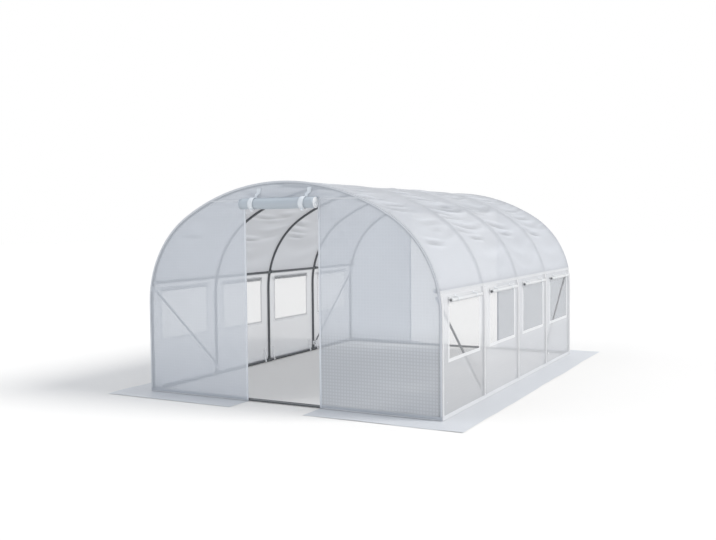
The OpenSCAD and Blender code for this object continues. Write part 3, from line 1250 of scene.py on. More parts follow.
@dataclass
class SideWall(Part):
    """A side wall with its four windows, their welts, the bands over the posts and the hem along its foot."""

    side: Side
    tunnel: Tunnel = TUNNEL
    piping: Piping = Piping()
    step: float = 0.017
    cut_back: float = 0.023
    welt_w: float = 0.029
    welt_lap: float = 0.003
    welt_step: float = 0.016
    hem_w: float = 0.034
    hem_step: float = 0.01
    sewn_lift: float = 0.0012
    band_w: float = 0.036
    band_lift: float = 0.001
    band_steps: Range = (0.03, 0.015)
    corner_w: float = 0.045

    def run(self, z: float) -> float:
        """Length along the section of a height on this side."""
        run = self.tunnel.run_at(z)
        return run if self.side is Side.RIGHT else 2 * self.tunnel.ridge_run - run

    def rows(self, heights: Sequence[float], step: float) -> np.ndarray:
        """Rising lengths along the section between heights."""
        return stops(sorted(self.run(z) for z in heights), step)

    def build(self) -> list[Piece]:
        """Sews the wall, its welts, hem, bands and piping.

        Returns:
            These pieces in order.
        """
        t, word = self.tunnel, self.side.word
        half = t.window_w / 2 + self.cut_back
        edges = sorted(y + step for y in t.windows for step in (-half, half))
        y = stops([-t.end_y, *edges, t.end_y], self.step)
        run = self.rows([t.foot_z, t.sill_z - self.cut_back, t.window_z + self.cut_back, t.seam_z], self.step)
        patch = COVER.patch(run, y, keep=self.keep(run, y, -self.cut_back))
        finish = RIGHT_SIDE if self.side is Side.RIGHT else SIDE
        wall = sewn(f"{word}_wall_film", [patch], finish, Slot.COVER, f"{word}_wall")
        welts = sewn(f"{word}_window_welts", self.welts(), DOUBLED, Slot.COVER)
        hem_run = self.rows([t.foot_z, t.foot_z + self.hem_w], self.hem_step)
        hem = sewn(f"{word}_wall_hem", [COVER.patch(hem_run, y[::2], self.sewn_lift)], HEM, Slot.COVER)
        run_l, length = t.run_at(t.seam_z), 2 * t.end_y
        open_area = len(t.windows) * 2 * half * (t.run_at(t.window_z) - t.sill_z + 2 * self.cut_back)
        length * run_l - open_area
        # Pale bands over the posts, a painted highlight of the lit posts behind the film.
        bands = sewn(f"{word}_post_bands", self.bands(), DOUBLED, Slot.COVER)
        foot_x = self.side.value * (t.half_w + t.film + self.piping.radius)
        piping = sewn(f"{word}_wall_piping", [self.piping.bead(foot_x, y[::4])], PIPING, Slot.COVER)
        return [wall, welts, hem, bands, piping]

    def bands(self) -> list[Patch]:
        """Doubled bands over the inner posts, pale as a painted highlight of the lit posts behind the film,
        and wider ones where the end walls lap round the corners.

        Returns:
            A patch for each band.
        """
        t, half = self.tunnel, self.band_w / 2
        up, along = self.band_steps
        run = self.rows([t.foot_z, t.seam_z], up)
        spans = [(y - half, y + half) for y in t.hoops[1:-1]]
        spans += [(-t.end_y, self.corner_w - t.end_y), (t.end_y - self.corner_w, t.end_y)]
        return [COVER.patch(run, stops(span, along), self.band_lift) for span in spans]

    def keep(self, run: np.ndarray, y: np.ndarray, margin: float) -> np.ndarray:
        """Faces of a grid that lie outside the windows.

        Args:
            run: The grid's rows.
            y: The grid's columns.
            margin: How much smaller the window is taken to be.

        Returns:
            True for each face that stays.
        """
        t = self.tunnel
        row = (run[:-1] + run[1:]) / 2
        column = (y[:-1] + y[1:]) / 2
        low, high = sorted((self.run(t.sill_z + margin), self.run(t.window_z - margin)))
        in_row = (row > low) & (row < high)
        in_column = (np.abs(column[:, None] - np.array(t.windows)) < t.window_w / 2 - margin).any(1)
        return ~(in_row[:, None] & in_column)

    def welts(self) -> list[Patch]:
        """A doubled border round each window.

        Returns:
            A patch for each window.
        """
        t, lap, half = self.tunnel, self.welt_lap, self.tunnel.window_w / 2
        out = self.welt_w - lap
        run = self.rows([t.sill_z - out, t.sill_z + lap, t.window_z - lap, t.window_z + out], self.welt_step)
        made = []
        for middle in t.windows:
            left, right = middle - half, middle + half
            y = stops([left - out, left + lap, right - lap, right + out], self.welt_step)
            made.append(COVER.patch(run, y, self.sewn_lift, self.keep(run, y, lap)))
        return made


@dataclass
class EndWall(Part):
    """An end wall: a panel on each side of the doorway, a head panel, seams, hems and piping.

    Fan waves are over a panel's width, by side and up. A crease runs down and out from the doorway's corner.
    """

    end: End
    door_w: float
    tunnel: Tunnel = TUNNEL
    piping: Piping = Piping()
    step: float = 0.017
    piping_step: float = 0.06
    seam_w: float = 0.013
    seam_z: float = 1.797
    seam_lift: float = 0.0014
    seam_rows: int = 3
    hem_w: float = 0.031
    hem_lift: float = 0.0012
    hem_rows: int = 4
    arch_hem_w: float = 0.016
    arch_hem_lift: float = 0.001
    arch_hem_step: float = 0.02
    arch_hem_columns: int = 5
    head_gap: float = 0.0005
    head_rows: int = 13
    head_columns: int = 91
    least_w: float = 1e-3
    bow: float = 0.006
    foot_fade: float = 0.3
    bow_top: float = 0.1
    top_fade: float = 0.4
    fan_waves: Triple = (9.0, 2.3, 4.0)
    fan_z: float = 1.0
    fan_deep: float = 0.0016
    crease_x: float = 0.1
    crease_lean: float = 0.5
    crease_w: float = 0.035
    crease_z: float = 1.2
    crease_fades: Range = (0.4, 0.1)
    crease_deep: float = 0.003

    def at(self, x: np.ndarray, z: np.ndarray, lift: float) -> np.ndarray:
        """Points of the wall: slack between the hoop and the doorway, with soft folds.

        Args:
            x: Places across.
            z: Heights.
            lift: Distance outside the film's own face.

        Returns:
            The points.
        """
        t, jamb = self.tunnel, self.door_w / 2
        beside, below = np.abs(x) - jamb, t.door_z - z
        reach = ramp(beside, np.maximum(t.half_width(z, 0.0) - jamb, self.least_w))
        hang = np.sin(np.pi * reach) * ramp(z, self.foot_fade) * ramp(below + self.bow_top, self.top_fade)
        over, sides, up = self.fan_waves
        fan = np.sin(over * reach + sides * np.sign(x) + up * (z - self.fan_z)) * hang * self.fan_deep
        corner = bell((beside - self.crease_x - below * self.crease_lean) / self.crease_w)
        low_fade, high_fade = self.crease_fades
        crease = corner * ramp(z - self.crease_z, low_fade) * ramp(below, high_fade) * self.crease_deep
        out = lift - self.bow * hang - fan - crease
        return np.stack([x, self.end.value * (t.end_y + out), z], -1)

    def patch(self, x: np.ndarray, z: np.ndarray, lift: float, flat: Sequence[np.ndarray]) -> Patch:
        """A patch of the wall that faces outwards."""
        return Patch(self.at(x, z, lift), np.stack(flat, -1)).facing((0.0, self.end.value, 0.0))

    def panel(self, side: Side, z: np.ndarray, lift: float = 0.0) -> Patch:
        """The wall beside the doorway between heights.

        Args:
            side: Side of the doorway.
            z: Heights of the rows.
            lift: Distance outside the film's own face.

        Returns:
            The panel, facing outwards.
        """
        t, jamb = self.tunnel, self.door_w / 2
        rows, share = grid(z, np.linspace(0, 1, math.ceil((t.half_w - jamb) / self.step) + 1))
        x = side.value * (jamb + (t.half_width(rows, t.film) - jamb) * share)
        return self.patch(x, rows, lift, (x, rows))

    def head(self) -> Patch:
        """The panel over the doorway, up to the crown.

        Returns:
            The panel, facing outwards.
        """
        t = self.tunnel
        edge = float(t.half_width(t.door_z, t.film)) - self.head_gap
        share, x = grid(np.linspace(0, 1, self.head_rows), np.linspace(-edge, edge, self.head_columns))
        top = t.crown_z + np.sqrt((t.crown_r + t.film) ** 2 - x**2)
        z = t.door_z + (top - t.door_z) * share
        return self.patch(x, z, 0.0, (x, z))

    def arch_hem(self) -> Patch:
        """The narrow sewn edge along the arch, from foot to foot.

        Returns:
            The edge, facing outwards.
        """
        t = self.tunnel
        run = stops([t.foot_z, 2 * t.ridge_run - t.foot_z], self.arch_hem_step)
        rows, columns = grid(run, np.linspace(-self.arch_hem_w, t.film, self.arch_hem_columns))
        return self.patch(*t.section(rows, columns), self.arch_hem_lift, (columns, rows))

    def build(self) -> list[Piece]:
        """Sews the panels, hems, seams and piping.

        Returns:
            These pieces in order.
        """
        t, word, jamb = self.tunnel, self.end.word, self.door_w / 2
        rows = stops([t.foot_z, t.door_z], self.step)
        widths = t.half_width(rows, t.film) - jamb
        area = float(((widths[1:] + widths[:-1]) / 2 * np.diff(rows)).sum())
        panels = []
        for side in Side:
            name = f"{word}_wall_{side.word}"
            # The front right panel gets the film with painted shade low down.
            finish = SHADED_LOW_FILM if (self.end, side) == (End.FRONT, Side.RIGHT) else FILM
            panels.append(sewn(f"{name}_film", [self.panel(side, rows)], finish, Slot.COVER, name))
            size = (t.half_w + t.film - jamb, t.door_z)
        head = sewn(f"{word}_wall_head_film", [self.head()], FILM, Slot.COVER, f"{word}_wall_head")
        span, drop = 2 * float(t.half_width(t.door_z, t.film)), t.height + t.film - t.door_z
        hem_z = np.linspace(t.foot_z, t.foot_z + self.hem_w, self.hem_rows)
        hems = [self.panel(side, hem_z, self.hem_lift) for side in Side]
        half = self.seam_w / 2
        seam_z = np.linspace(self.seam_z - half, self.seam_z + half, self.seam_rows)
        seams = [self.panel(side, seam_z, self.seam_lift) for side in Side]
        foot_x = stops([jamb, t.half_w], self.piping_step)
        foot_y = self.end.value * (t.end_y + self.piping.radius)
        beads = [self.piping.bead(side.value * foot_x, foot_y) for side in Side]
        return [
            *panels,
            head,
            sewn(f"{word}_wall_hems", hems, FOOT_HEM, Slot.COVER),
            sewn(f"{word}_wall_seams", [*seams, self.arch_hem()], SEAM, Slot.COVER),
            sewn(f"{word}_wall_piping", beads, PIPING, Slot.COVER),
        ]


@dataclass
class Skirts(Part):
    """The skirt on the ground all round, open at both doorways.

    A wave has a height, turns across and along, and a shift. The stray edge has turns across and along.
    """

    door_w: dict[End, float]
    tunnel: Tunnel = TUNNEL
    step: float = 0.02
    under: float = 0.007
    rest_z: float = 0.0018
    least_z: float = 0.0012
    wave_h: float = 0.0013
    wave_up: float = 2.2
    waves: tuple[tuple[float, ...], ...] = ((1, 7.1, 5.3, 0.4), (1, -6.1, 11.7, 1.9), (0.6, 23.0, 16.1, 0))
    stray: float = 0.004
    stray_turns: Range = (2.9, 3.7)

    def at(self, x: np.ndarray, y: np.ndarray) -> np.ndarray:
        """Points of the skirt: flat along the walls and gently waved towards its edge.

        Args:
            x: Places across.
            y: Places along.

        Returns:
            The points.
        """
        t = self.tunnel
        free = ramp(np.maximum(np.abs(x) - t.half_w, np.abs(y) - t.half_l), t.skirt_w)
        wave = sum(high * np.sin(across * x + along * y + shift) for high, across, along, shift in self.waves)
        z = self.rest_z + self.wave_h * free * (wave + self.wave_up)
        across, along = self.stray_turns
        stray = self.stray * np.sin(across * x + along * y) * free
        return np.stack([x + stray * np.sign(x) * (np.abs(x) > t.half_w), y, np.maximum(z, self.least_z)], -1)

    def lay(self, name: str, x: np.ndarray, y: np.ndarray, node: str, wall: str) -> Piece:
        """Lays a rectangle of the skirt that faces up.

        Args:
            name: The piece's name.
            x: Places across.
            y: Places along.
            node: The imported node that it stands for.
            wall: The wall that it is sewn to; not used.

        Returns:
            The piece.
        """
        rows, columns = grid(np.sort(y), np.sort(x))
        patch = Patch(self.at(columns, rows), np.stack([columns, rows], -1))
        skirt = sewn(name, [patch], SKIRT, Slot.SKIRT, node)
        return skirt

    def build(self) -> list[Piece]:
        """Lays the skirts.

        Returns:
            The long skirts, then those of the ends.
        """
        t, made = self.tunnel, []
        wall_x, wall_y = t.half_w + t.film - self.under, t.end_y - self.under
        edge_x, edge_y = t.half_w + t.film + t.skirt_w, t.end_y + t.skirt_w
        for side in Side:
            x = side.value * stops([wall_x, edge_x], self.step)
            y = stops([-edge_y, edge_y], self.step)
            word = side.word
            made.append(self.lay(f"{word}_skirt_film", x, y, f"{word}_skirt", f"{word}_wall_film"))
        for end in End:
            y = end.value * stops([wall_y, edge_y], self.step)
            for side in Side:
                x = side.value * stops([self.door_w[end] / 2, wall_x], self.step)
                name, wall = (f"{end.word}_{kind}_{side.word}_film" for kind in ("skirt", "wall"))
                made.append(self.lay(name, x, y, f"{end.word}_skirts", wall))
        return made


@dataclass
class WindowNets(Part):
    """Insect nets behind the windows of one side."""

    wall: SideWall
    lap: float = 0.015
    slack: float = 0.006
    behind: float = 0.0022
    step: float = 0.022
    columns: int = 37
    ripple: float = 0.25
    ripple_turns: float = 17.0

    def build(self) -> list[Piece]:
        """Hangs the nets.

        Returns:
            The nets.
        """
        t, word, made = self.wall.tunnel, self.wall.side.word, []
        half = t.window_w / 2 + self.lap
        run = self.wall.rows([t.sill_z - self.lap, t.window_z + self.lap], self.step)
        for number, middle in enumerate(t.windows, 1):
            y = np.linspace(middle - half, middle + half, self.columns)
            patch = COVER.patch(run, y, -self.behind)
            up, along = (np.sin(np.pi * (places - places[0]) / np.ptp(places)) for places in (run, y))
            ripple = 1 + self.ripple * np.sin(self.ripple_turns * y + number)
            patch.points[..., 0] -= self.wall.side.value * self.slack * up[:, None] * along * ripple
            net = sewn(f"{word}_net_{number}", [patch], NET, Slot.NET, f"{word}_window_nets")
            made.append(net)
        return made


# Rolls, ties, straps and zips


@dataclass(frozen=True)
class RollStyle:
    """What the rolls of one kind share. Ties stand at both sides of a roll's middle."""

    finish: Finish
    outer_r: float
    core_r: float
    tie_at: float
    droop: float
    segments: int
    columns: int


@dataclass
class FilmRoll:
    """A sheet rolled up against a wall and sewn to it along its upper edge.

    Its own axes run along the roll, towards the wall and up.
    """

    name: str
    node: str
    hung_from: str
    centre: Triple
    along: Triple
    wallward: Triple
    length: float
    sheet_l: float
    wall_gap: float
    sewn_h: float
    seed: int
    style: RollStyle
    lead_share: float = 0.3
    lead_knee: Range = (0.0004, 0.72)
    lead_points: int = 7
    layer_fill: float = 0.93
    layer_inset: float = 0.6
    uneven: float = 0.018
    wave_h: Range = (0.2, 0.5)
    wave_stretch: Range = (0.9, 1.1)
    wave_start: Range = (0, 6)
    loose: float = 0.15
    pinch: float = 0.05
    pinch_w: float = 0.03
    end_droop: float = 0.7
    ripple: float = 0.008
    ripple_turns: float = 31.0
    drift: float = 0.0022
    drift_turns: float = 25.0
    drift_from: float = 0.49

    @property
    def turns(self) -> float:
        """Turns of the sheet round the core."""
        rolled = self.sheet_l - (self.sewn_h + self.style.outer_r * self.lead_share)
        return rolled / (math.pi * (self.style.outer_r + self.style.core_r))

    @property
    def thick(self) -> float:
        """Thickness of a layer, a little less than the spiral's pitch."""
        return (self.style.outer_r - self.style.core_r) / self.turns * self.layer_fill

    @property
    def ties(self) -> Range:
        """Places of the ties along the roll."""
        return -self.style.tie_at, self.style.tie_at

    def world(self, local: np.ndarray) -> np.ndarray:
        """Turns local points into points of the frame."""
        return np.array(self.centre) + local @ np.array([self.along, self.wallward, UP])

    def line(self) -> tuple[np.ndarray, np.ndarray]:
        """The sheet's line across the roll, from the sewn edge into the core.

        Returns:
            Places towards the wall and up, and how far each point is rolled up, from 0 to 1.
        """
        outer, core = self.style.outer_r, self.style.core_r
        angle = np.linspace(0.0, 2 * math.pi * self.turns, int(self.turns * self.style.segments))
        share = angle / angle[-1]
        rng = np.random.default_rng(self.seed)
        uneven = np.zeros(len(angle))
        for wave in (1, 2, 3):
            height = rng.uniform(*self.wave_h)
            turn = wave * angle * rng.uniform(*self.wave_stretch)
            uneven += height * np.sin(turn + rng.uniform(*self.wave_start))
        radius = outer - self.thick * self.layer_inset - (outer - core) * share + uneven * self.uneven * outer
        spiral = np.stack([radius * np.cos(angle), -radius * np.sin(angle)], -1)
        off, up = self.lead_knee
        top = np.array([self.wall_gap, self.sewn_h])
        knee = [self.wall_gap - off, self.sewn_h * up]
        lead = curve([top, knee, (top + 2 * spiral[0]) / 3, spiral[0]], self.lead_points)[:-1]
        rolled = np.concatenate([np.zeros(len(lead)), self.loose + (1 - self.loose) * share])
        return np.concatenate([lead, spiral]), rolled

    def build(self) -> Piece:
        """Rolls the sheet up: pinched at its ties, drooping between them, with layers that stray at its ends.

        Returns:
            The rolled sheet.
        """
        line, share = self.line()
        style, tie_at = self.style, self.style.tie_at
        along = np.linspace(-self.length / 2, self.length / 2, style.columns)
        start = np.random.default_rng(self.seed + 50).uniform(*self.wave_start)
        pinch = sum(bell((along - tie) / self.pinch_w) for tie in self.ties)
        squeeze = -self.pinch * pinch + self.ripple * np.sin(self.ripple_turns * along + start)
        outside = np.abs(along) - tie_at
        hang = np.where(outside < 0, np.cos(np.pi * along / (2 * tie_at)), outside / tie_at * self.end_droop)
        free = ramp(share, self.loose)[:, None]
        scale = 1 + squeeze * free
        stray = np.sign(along) * (np.abs(along) > self.length * self.drift_from)
        drift = self.drift * np.sin(share * self.drift_turns + self.seed)[:, None] * stray
        up = line[:, 1:] * scale - style.droop * hang * free
        local = np.stack([along + drift, line[:, :1] * scale, up], -1)
        run = lengths(line)
        rows, columns = grid(-run, along)
        roll = sew(self.name, [Patch(self.world(local), np.stack([columns, rows], -1))])
        for finish in (style.finish, CUT_EDGE):
            roll.data.materials.append(finish.material())
        apply(roll, "SOLIDIFY", thickness=self.thick, offset=0.0, material_offset_rim=1)
        dress(roll, style.finish, Slot.ROLL, [self.node], "rolled")
        return roll


@dataclass(frozen=True)
class Tie:
    """A tape sewn to the wall that is drawn round a roll; a wide one hangs in a short tail.

    Knee and slope are points between the wall and the roll: a share of the lean, a distance off the wall, and
    a share of the width below the tape's top or of the way from the roll up to it. Neck and belly are shares
    of the width, with their place and spread as shares of the length. Turns are in degrees.
    """

    finish: Finish
    width: float
    thick: float
    rise: float
    lean: float
    tail: bool
    wall_off: float = 0.0016
    roll_off: float = 0.0018
    knee: Triple = (0.8, 0.001, 0.9)
    slope: Triple = (0.45, 0.012, 0.32)
    wrap_turn: Range = (62, 372)
    wrap_lean: Range = (0.28, -0.32)
    wrap_points: int = 15
    tape_points: int = 72
    neck: Triple = (0.42, 0.16, 0.06)
    belly: Triple = (0.1, 0.5, 0.2)
    tail_turn: float = 238
    tail_off: float = 0.001
    tail_lean: float = 0.1
    tail_w: float = 0.62
    tail_points: int = 14
    tail_drop: tuple[Triple, ...] = ((0, 0, 0), (3, -4, -6), (8, -4, -13), (12, -2, -19))
    drop_unit: float = 1 / 36

    def patches(self, roll: FilmRoll, at: float) -> list[Patch]:
        """The tape and its tail.

        Args:
            roll: The roll that is tied.
            at: Place along the roll.

        Returns:
            A patch for each.
        """
        gap = roll.wall_gap - self.wall_off
        r = roll.style.outer_r + self.roll_off
        knee_lean, knee_off, knee_down = self.knee
        slope_lean, slope_off, slope_up = self.slope
        start = [
            [self.lean, gap, self.rise],
            [self.lean * knee_lean, gap - knee_off, self.rise - self.width * knee_down],
            [self.lean * slope_lean, gap - slope_off, r + (self.rise - r) * slope_up],
        ]
        angle = np.radians(np.linspace(*self.wrap_turn, self.wrap_points))
        shift = self.lean * np.linspace(*self.wrap_lean, self.wrap_points)
        wrap = np.stack([shift, r * np.cos(angle), r * np.sin(angle)], -1)
        line = curve([*start, *wrap], self.tape_points)
        line[:, 0] += at
        share = np.linspace(0, 1, len(line))
        neck, belly = (size * bell((share - mid) / spread) for size, mid, spread in (self.neck, self.belly))
        tape = strap(roll.world(line), roll.along, self.width * (1 - neck + belly))
        if not self.tail:
            return [tape]
        turn, r = math.radians(self.tail_turn), r + self.tail_off
        knot = np.array([at - self.lean * self.tail_lean, r * math.cos(turn), r * math.sin(turn)])
        tail = curve(knot + np.array(self.tail_drop) * (self.width * self.drop_unit), self.tail_points)
        return [tape, strap(roll.world(tail), roll.along, self.width * self.tail_w)]


class Rolled(Part):
    """Sheets that are rolled up and tied."""

    kind: str
    tie: Tie

    @abstractmethod
    def rolls(self) -> list[FilmRoll]:
        """The rolls in order."""

    def build(self) -> list[Piece]:
        """Rolls up the sheets and ties them.

        Returns:
            The rolled sheets and their ties.
        """
        rolls = self.rolls()
        made = [roll.build() for roll in rolls]
        tapes = [patch for roll in rolls for at in roll.ties for patch in self.tie.patches(roll, at)]
        ties = apply(sew(f"{self.kind}_tie_tapes", tapes), "SOLIDIFY", thickness=self.tie.thick, offset=0.0)
        return [*made, dress(ties, self.tie.finish, Slot.TAPE, [f"{self.kind}_ties"], "tied")]


@dataclass
class RolledDoors(Rolled):
    """The rolled-up doors over both doorways, with their ties."""

    door_w: dict[End, float]
    kind: str = "door"
    tie: Tie = Tie(TIE_TAPE, width=0.046, thick=0.0014, rise=0.134, lean=0.034, tail=True)
    style: RollStyle = RollStyle(DOOR_ROLL, 0.05, 0.006, tie_at=0.258, droop=0.004, segments=34, columns=25)
    tunnel: Tunnel = TUNNEL
    roll_y: float = 2.0549
    roll_z: float = 1.767
    over: float = 0.008
    wall_off: float = 0.0016
    sewn_over: float = 0.012

    def rolls(self) -> list[FilmRoll]:
        """The two doors.

        Returns:
            Their rolls.
        """
        return [
            FilmRoll(
                name=f"{end.word}_door_film",
                node=f"{end.word}_door_roll",
                hung_from=f"{end.word}_wall_head_film",
                centre=(0.0, end.value * self.roll_y, self.roll_z),
                along=(1.0, 0.0, 0.0),
                wallward=(0.0, -end.value, 0.0),
                length=self.door_w[end] + 2 * self.over,
                sheet_l=self.tunnel.door_z,
                wall_gap=self.roll_y - self.tunnel.end_y - self.wall_off,
                sewn_h=self.tunnel.door_z + self.sewn_over - self.roll_z,
                seed=3 + end.value,
                style=self.style,
            )
            for end in End
        ]


@dataclass
class RolledFlaps(Rolled):
    """The rolled-up flaps over the windows of both sides, with their ties."""

    kind: str = "flap"
    tie: Tie = Tie(FLAP_TAPE, width=0.016, thick=0.0012, rise=0.036, lean=0.002, tail=False)
    style: RollStyle = RollStyle(FLAP_ROLL, 0.017, 0.0105, tie_at=0.215, droop=0.002, segments=24, columns=21)
    tunnel: Tunnel = TUNNEL
    roll_x: float = 1.5151
    roll_z: float = 0.96
    over: float = 0.012
    wall_off: float = 0.0016
    face_rise: float = 0.025
    sewn_h: float = 0.026
    sheet_over: float = 0.04

    def rolls(self) -> list[FilmRoll]:
        """The flaps of the right side, then those of the left.

        Returns:
            Their rolls.
        """
        t = self.tunnel
        face_x = float(t.section(t.run_at(self.roll_z + self.face_rise), t.film)[0])
        return [
            FilmRoll(
                name=f"{side.word}_flap_film_{number}",
                node=f"{side.word}_flap_rolls",
                hung_from=f"{side.word}_wall_film",
                centre=(side.value * self.roll_x, y, self.roll_z),
                along=(0.0, 1.0, 0.0),
                wallward=(-side.value, 0.0, 0.0),
                length=t.window_w + 2 * self.over,
                sheet_l=t.window_z - t.sill_z + self.sheet_over,
                wall_gap=self.roll_x - face_x - self.wall_off,
                sewn_h=self.sewn_h,
                seed=10 + number + 4 * side.value,
                style=self.style,
            )
            for side in Side
            for number, y in enumerate(t.windows, 1)
        ]


@dataclass
class FootStraps(Part):
    """Tapes that hold the foot of each side wall to the base rail, beside every post.

    The route is across and up, from the wall down to the rail, and goes on round it by the angles.
    """

    tunnel: Tunnel = TUNNEL
    width: float = 0.022
    thick: float = 0.0012
    points: int = 30
    beside: float = 0.09
    wrap_r: float = 0.0166
    wrap_turns: tuple[float, ...] = (160, 185, 210, 232)
    route: tuple[Range, ...] = ((1.4962, 0.150), (1.4958, 0.118), (1.4872, 0.07), (1.4735, 0.033))

    def build(self) -> list[Piece]:
        """Sews the straps to the walls and draws them over the base rails.

        Returns:
            All the straps as one piece.
        """
        t, angle = self.tunnel, np.radians(self.wrap_turns)
        rail = np.array([t.half_w - t.inset, t.inset])
        ring = rail + self.wrap_r * np.stack([np.cos(angle), np.sin(angle)], -1)
        x, z = curve([*self.route, *ring], self.points).T
        patches = []
        for side in Side:
            for hoop in t.hoops:
                for y in (hoop - self.beside, hoop + self.beside):
                    if abs(y) < t.hoops[-1]:
                        line = np.stack([side.value * x, np.full_like(x, y), z], -1)
                        patches.append(strap(line, (0.0, 1.0, 0.0), self.width))
        straps = apply(sew("foot_straps", patches), "SOLIDIFY", thickness=self.thick, offset=0.0)
        return [dress(straps, STRAP_TAPE, Slot.TAPE)]


def block(size: Triple, place: Triple) -> Piece:
    """A box, left in edit mode with all of it selected.

    Args:
        size: Its three sizes.
        place: Its middle.

    Returns:
        The box.
    """
    choose()
    bpy.ops.mesh.primitive_cube_add(size=1.0, location=place)
    made = bpy.context.object
    made.scale = size
    bpy.ops.object.transform_apply(location=True, rotation=False, scale=True)
    bpy.ops.object.mode_set(mode="EDIT")
    bpy.ops.mesh.select_all(action="SELECT")
    return made


@dataclass
class DoorZips(Part):
    """Zip tapes along both jambs of each doorway, with their coils and sliders."""

    door_w: dict[End, float]
    tunnel: Tunnel = TUNNEL
    width: float = 0.018
    thick: float = 0.0014
    lift: float = 0.0022
    tape_step: float = 0.03
    coil_r: float = 0.0026
    coil_tip_r: float = 0.0003
    coil_gap: float = 0.72
    coil_x: float = 0.0005
    coil_top: float = 0.02
    coil_sides: int = 6
    pitch: float = 0.006
    slider_at: Triple = (0.002, 0.0055, 1.665)
    slider_size: Triple = (0.011, 0.006, 0.02)
    slider_edge: float = 0.0014
    pull_at: Triple = (0.0, -0.0042, -0.024)
    pull_size: Triple = (0.007, 0.0016, 0.034)
    pull_rim: float = 0.0014
    pull_dish: float = 0.0004

    def tape(self, end: End, side: Side) -> Patch:
        """The woven tape beside a doorway.

        Args:
            end: The doorway's end.
            side: Side of the doorway.

        Returns:
            The tape.
        """
        z = stops([self.tunnel.foot_z, self.tunnel.door_z], self.tape_step)
        x = side.value * (self.door_w[end] / 2 + self.width / 2)
        y = end.value * (self.tunnel.end_y + self.lift)
        return strap(np.stack(np.broadcast_arrays(x, y, z), -1), (-end.value, 0.0, 0.0), self.width)

    def coil(self, end: End, side: Side) -> Patch:
        """The zip's coil: a thin bead with a ring for each tooth.

        Args:
            end: The doorway's end.
            side: Side of the doorway.

        Returns:
            The coil.
        """
        t = self.tunnel
        z = np.arange(t.foot_z, t.door_z - self.coil_top, self.pitch / 3)
        radius = self.coil_r * np.where(np.arange(len(z)) % 3 == 1, 1.0, self.coil_gap)
        radius[[0, -1]] = self.coil_tip_r
        angle = np.linspace(0, 2 * math.pi, self.coil_sides + 1)[:-1] * -side.value * end.value
        x = side.value * (self.door_w[end] / 2 + self.coil_x) + radius[:, None] * np.cos(angle)
        y = end.value * (t.end_y + self.lift) + radius[:, None] * np.sin(angle)
        points = np.stack(np.broadcast_arrays(x, y, z[:, None]), -1)
        return Patch(points, np.zeros((*x.shape, 2)), closed=True)

    def slider(self) -> Piece:
        """A zip slider with its pull, modelled once at the origin, facing -Y.

        Returns:
            The model.
        """
        body = block(self.slider_size, (0.0, 0.0, 0.0))
        bpy.ops.mesh.bevel(offset=self.slider_edge, segments=2, affect="EDGES")
        bpy.ops.object.mode_set(mode="OBJECT")
        pull = block(self.pull_size, self.pull_at)
        pick_faces(pull, (0.0, -1.0, 0.0))
        bpy.ops.mesh.inset(thickness=self.pull_rim, depth=-self.pull_dish)
        bpy.ops.mesh.select_all(action="SELECT")
        bpy.ops.mesh.bevel(offset=self.pull_dish, segments=1, affect="EDGES")
        bpy.ops.object.mode_set(mode="OBJECT")
        choose(body, pull)
        bpy.ops.object.join()
        return body

    def build(self) -> list[Piece]:
        """Sews the tapes and sets coils and sliders.

        Returns:
            Tapes, coils and sliders.
        """
        jambs = [(end, side) for end in End for side in Side]
        tapes = sew("zip_tapes", [self.tape(*jamb) for jamb in jambs])
        apply(tapes, "SOLIDIFY", thickness=self.thick, offset=0.0)
        dress(tapes, ZIP_TAPE, Slot.TAPE, ["door_zips"])
        coils = sewn("zip_coils", [self.coil(*jamb) for jamb in jambs], ZIP_COIL, Slot.TAPE)
        beside, out, z = self.slider_at
        places = []
        for end, side in jambs:
            x, y = side.value * (self.door_w[end] / 2 + beside), end.value * (self.tunnel.end_y + out)
            turn = Matrix.Rotation(0.0 if end is End.FRONT else math.pi, 4, "Z")
            places.append(Matrix.Translation((x, y, z)) @ turn)
        sliders = copies("zip_sliders", self.slider(), places)
        return [tapes, coils, dress(sliders, ZIP_COIL, Slot.TAPE, report="modelled")]


# The frame


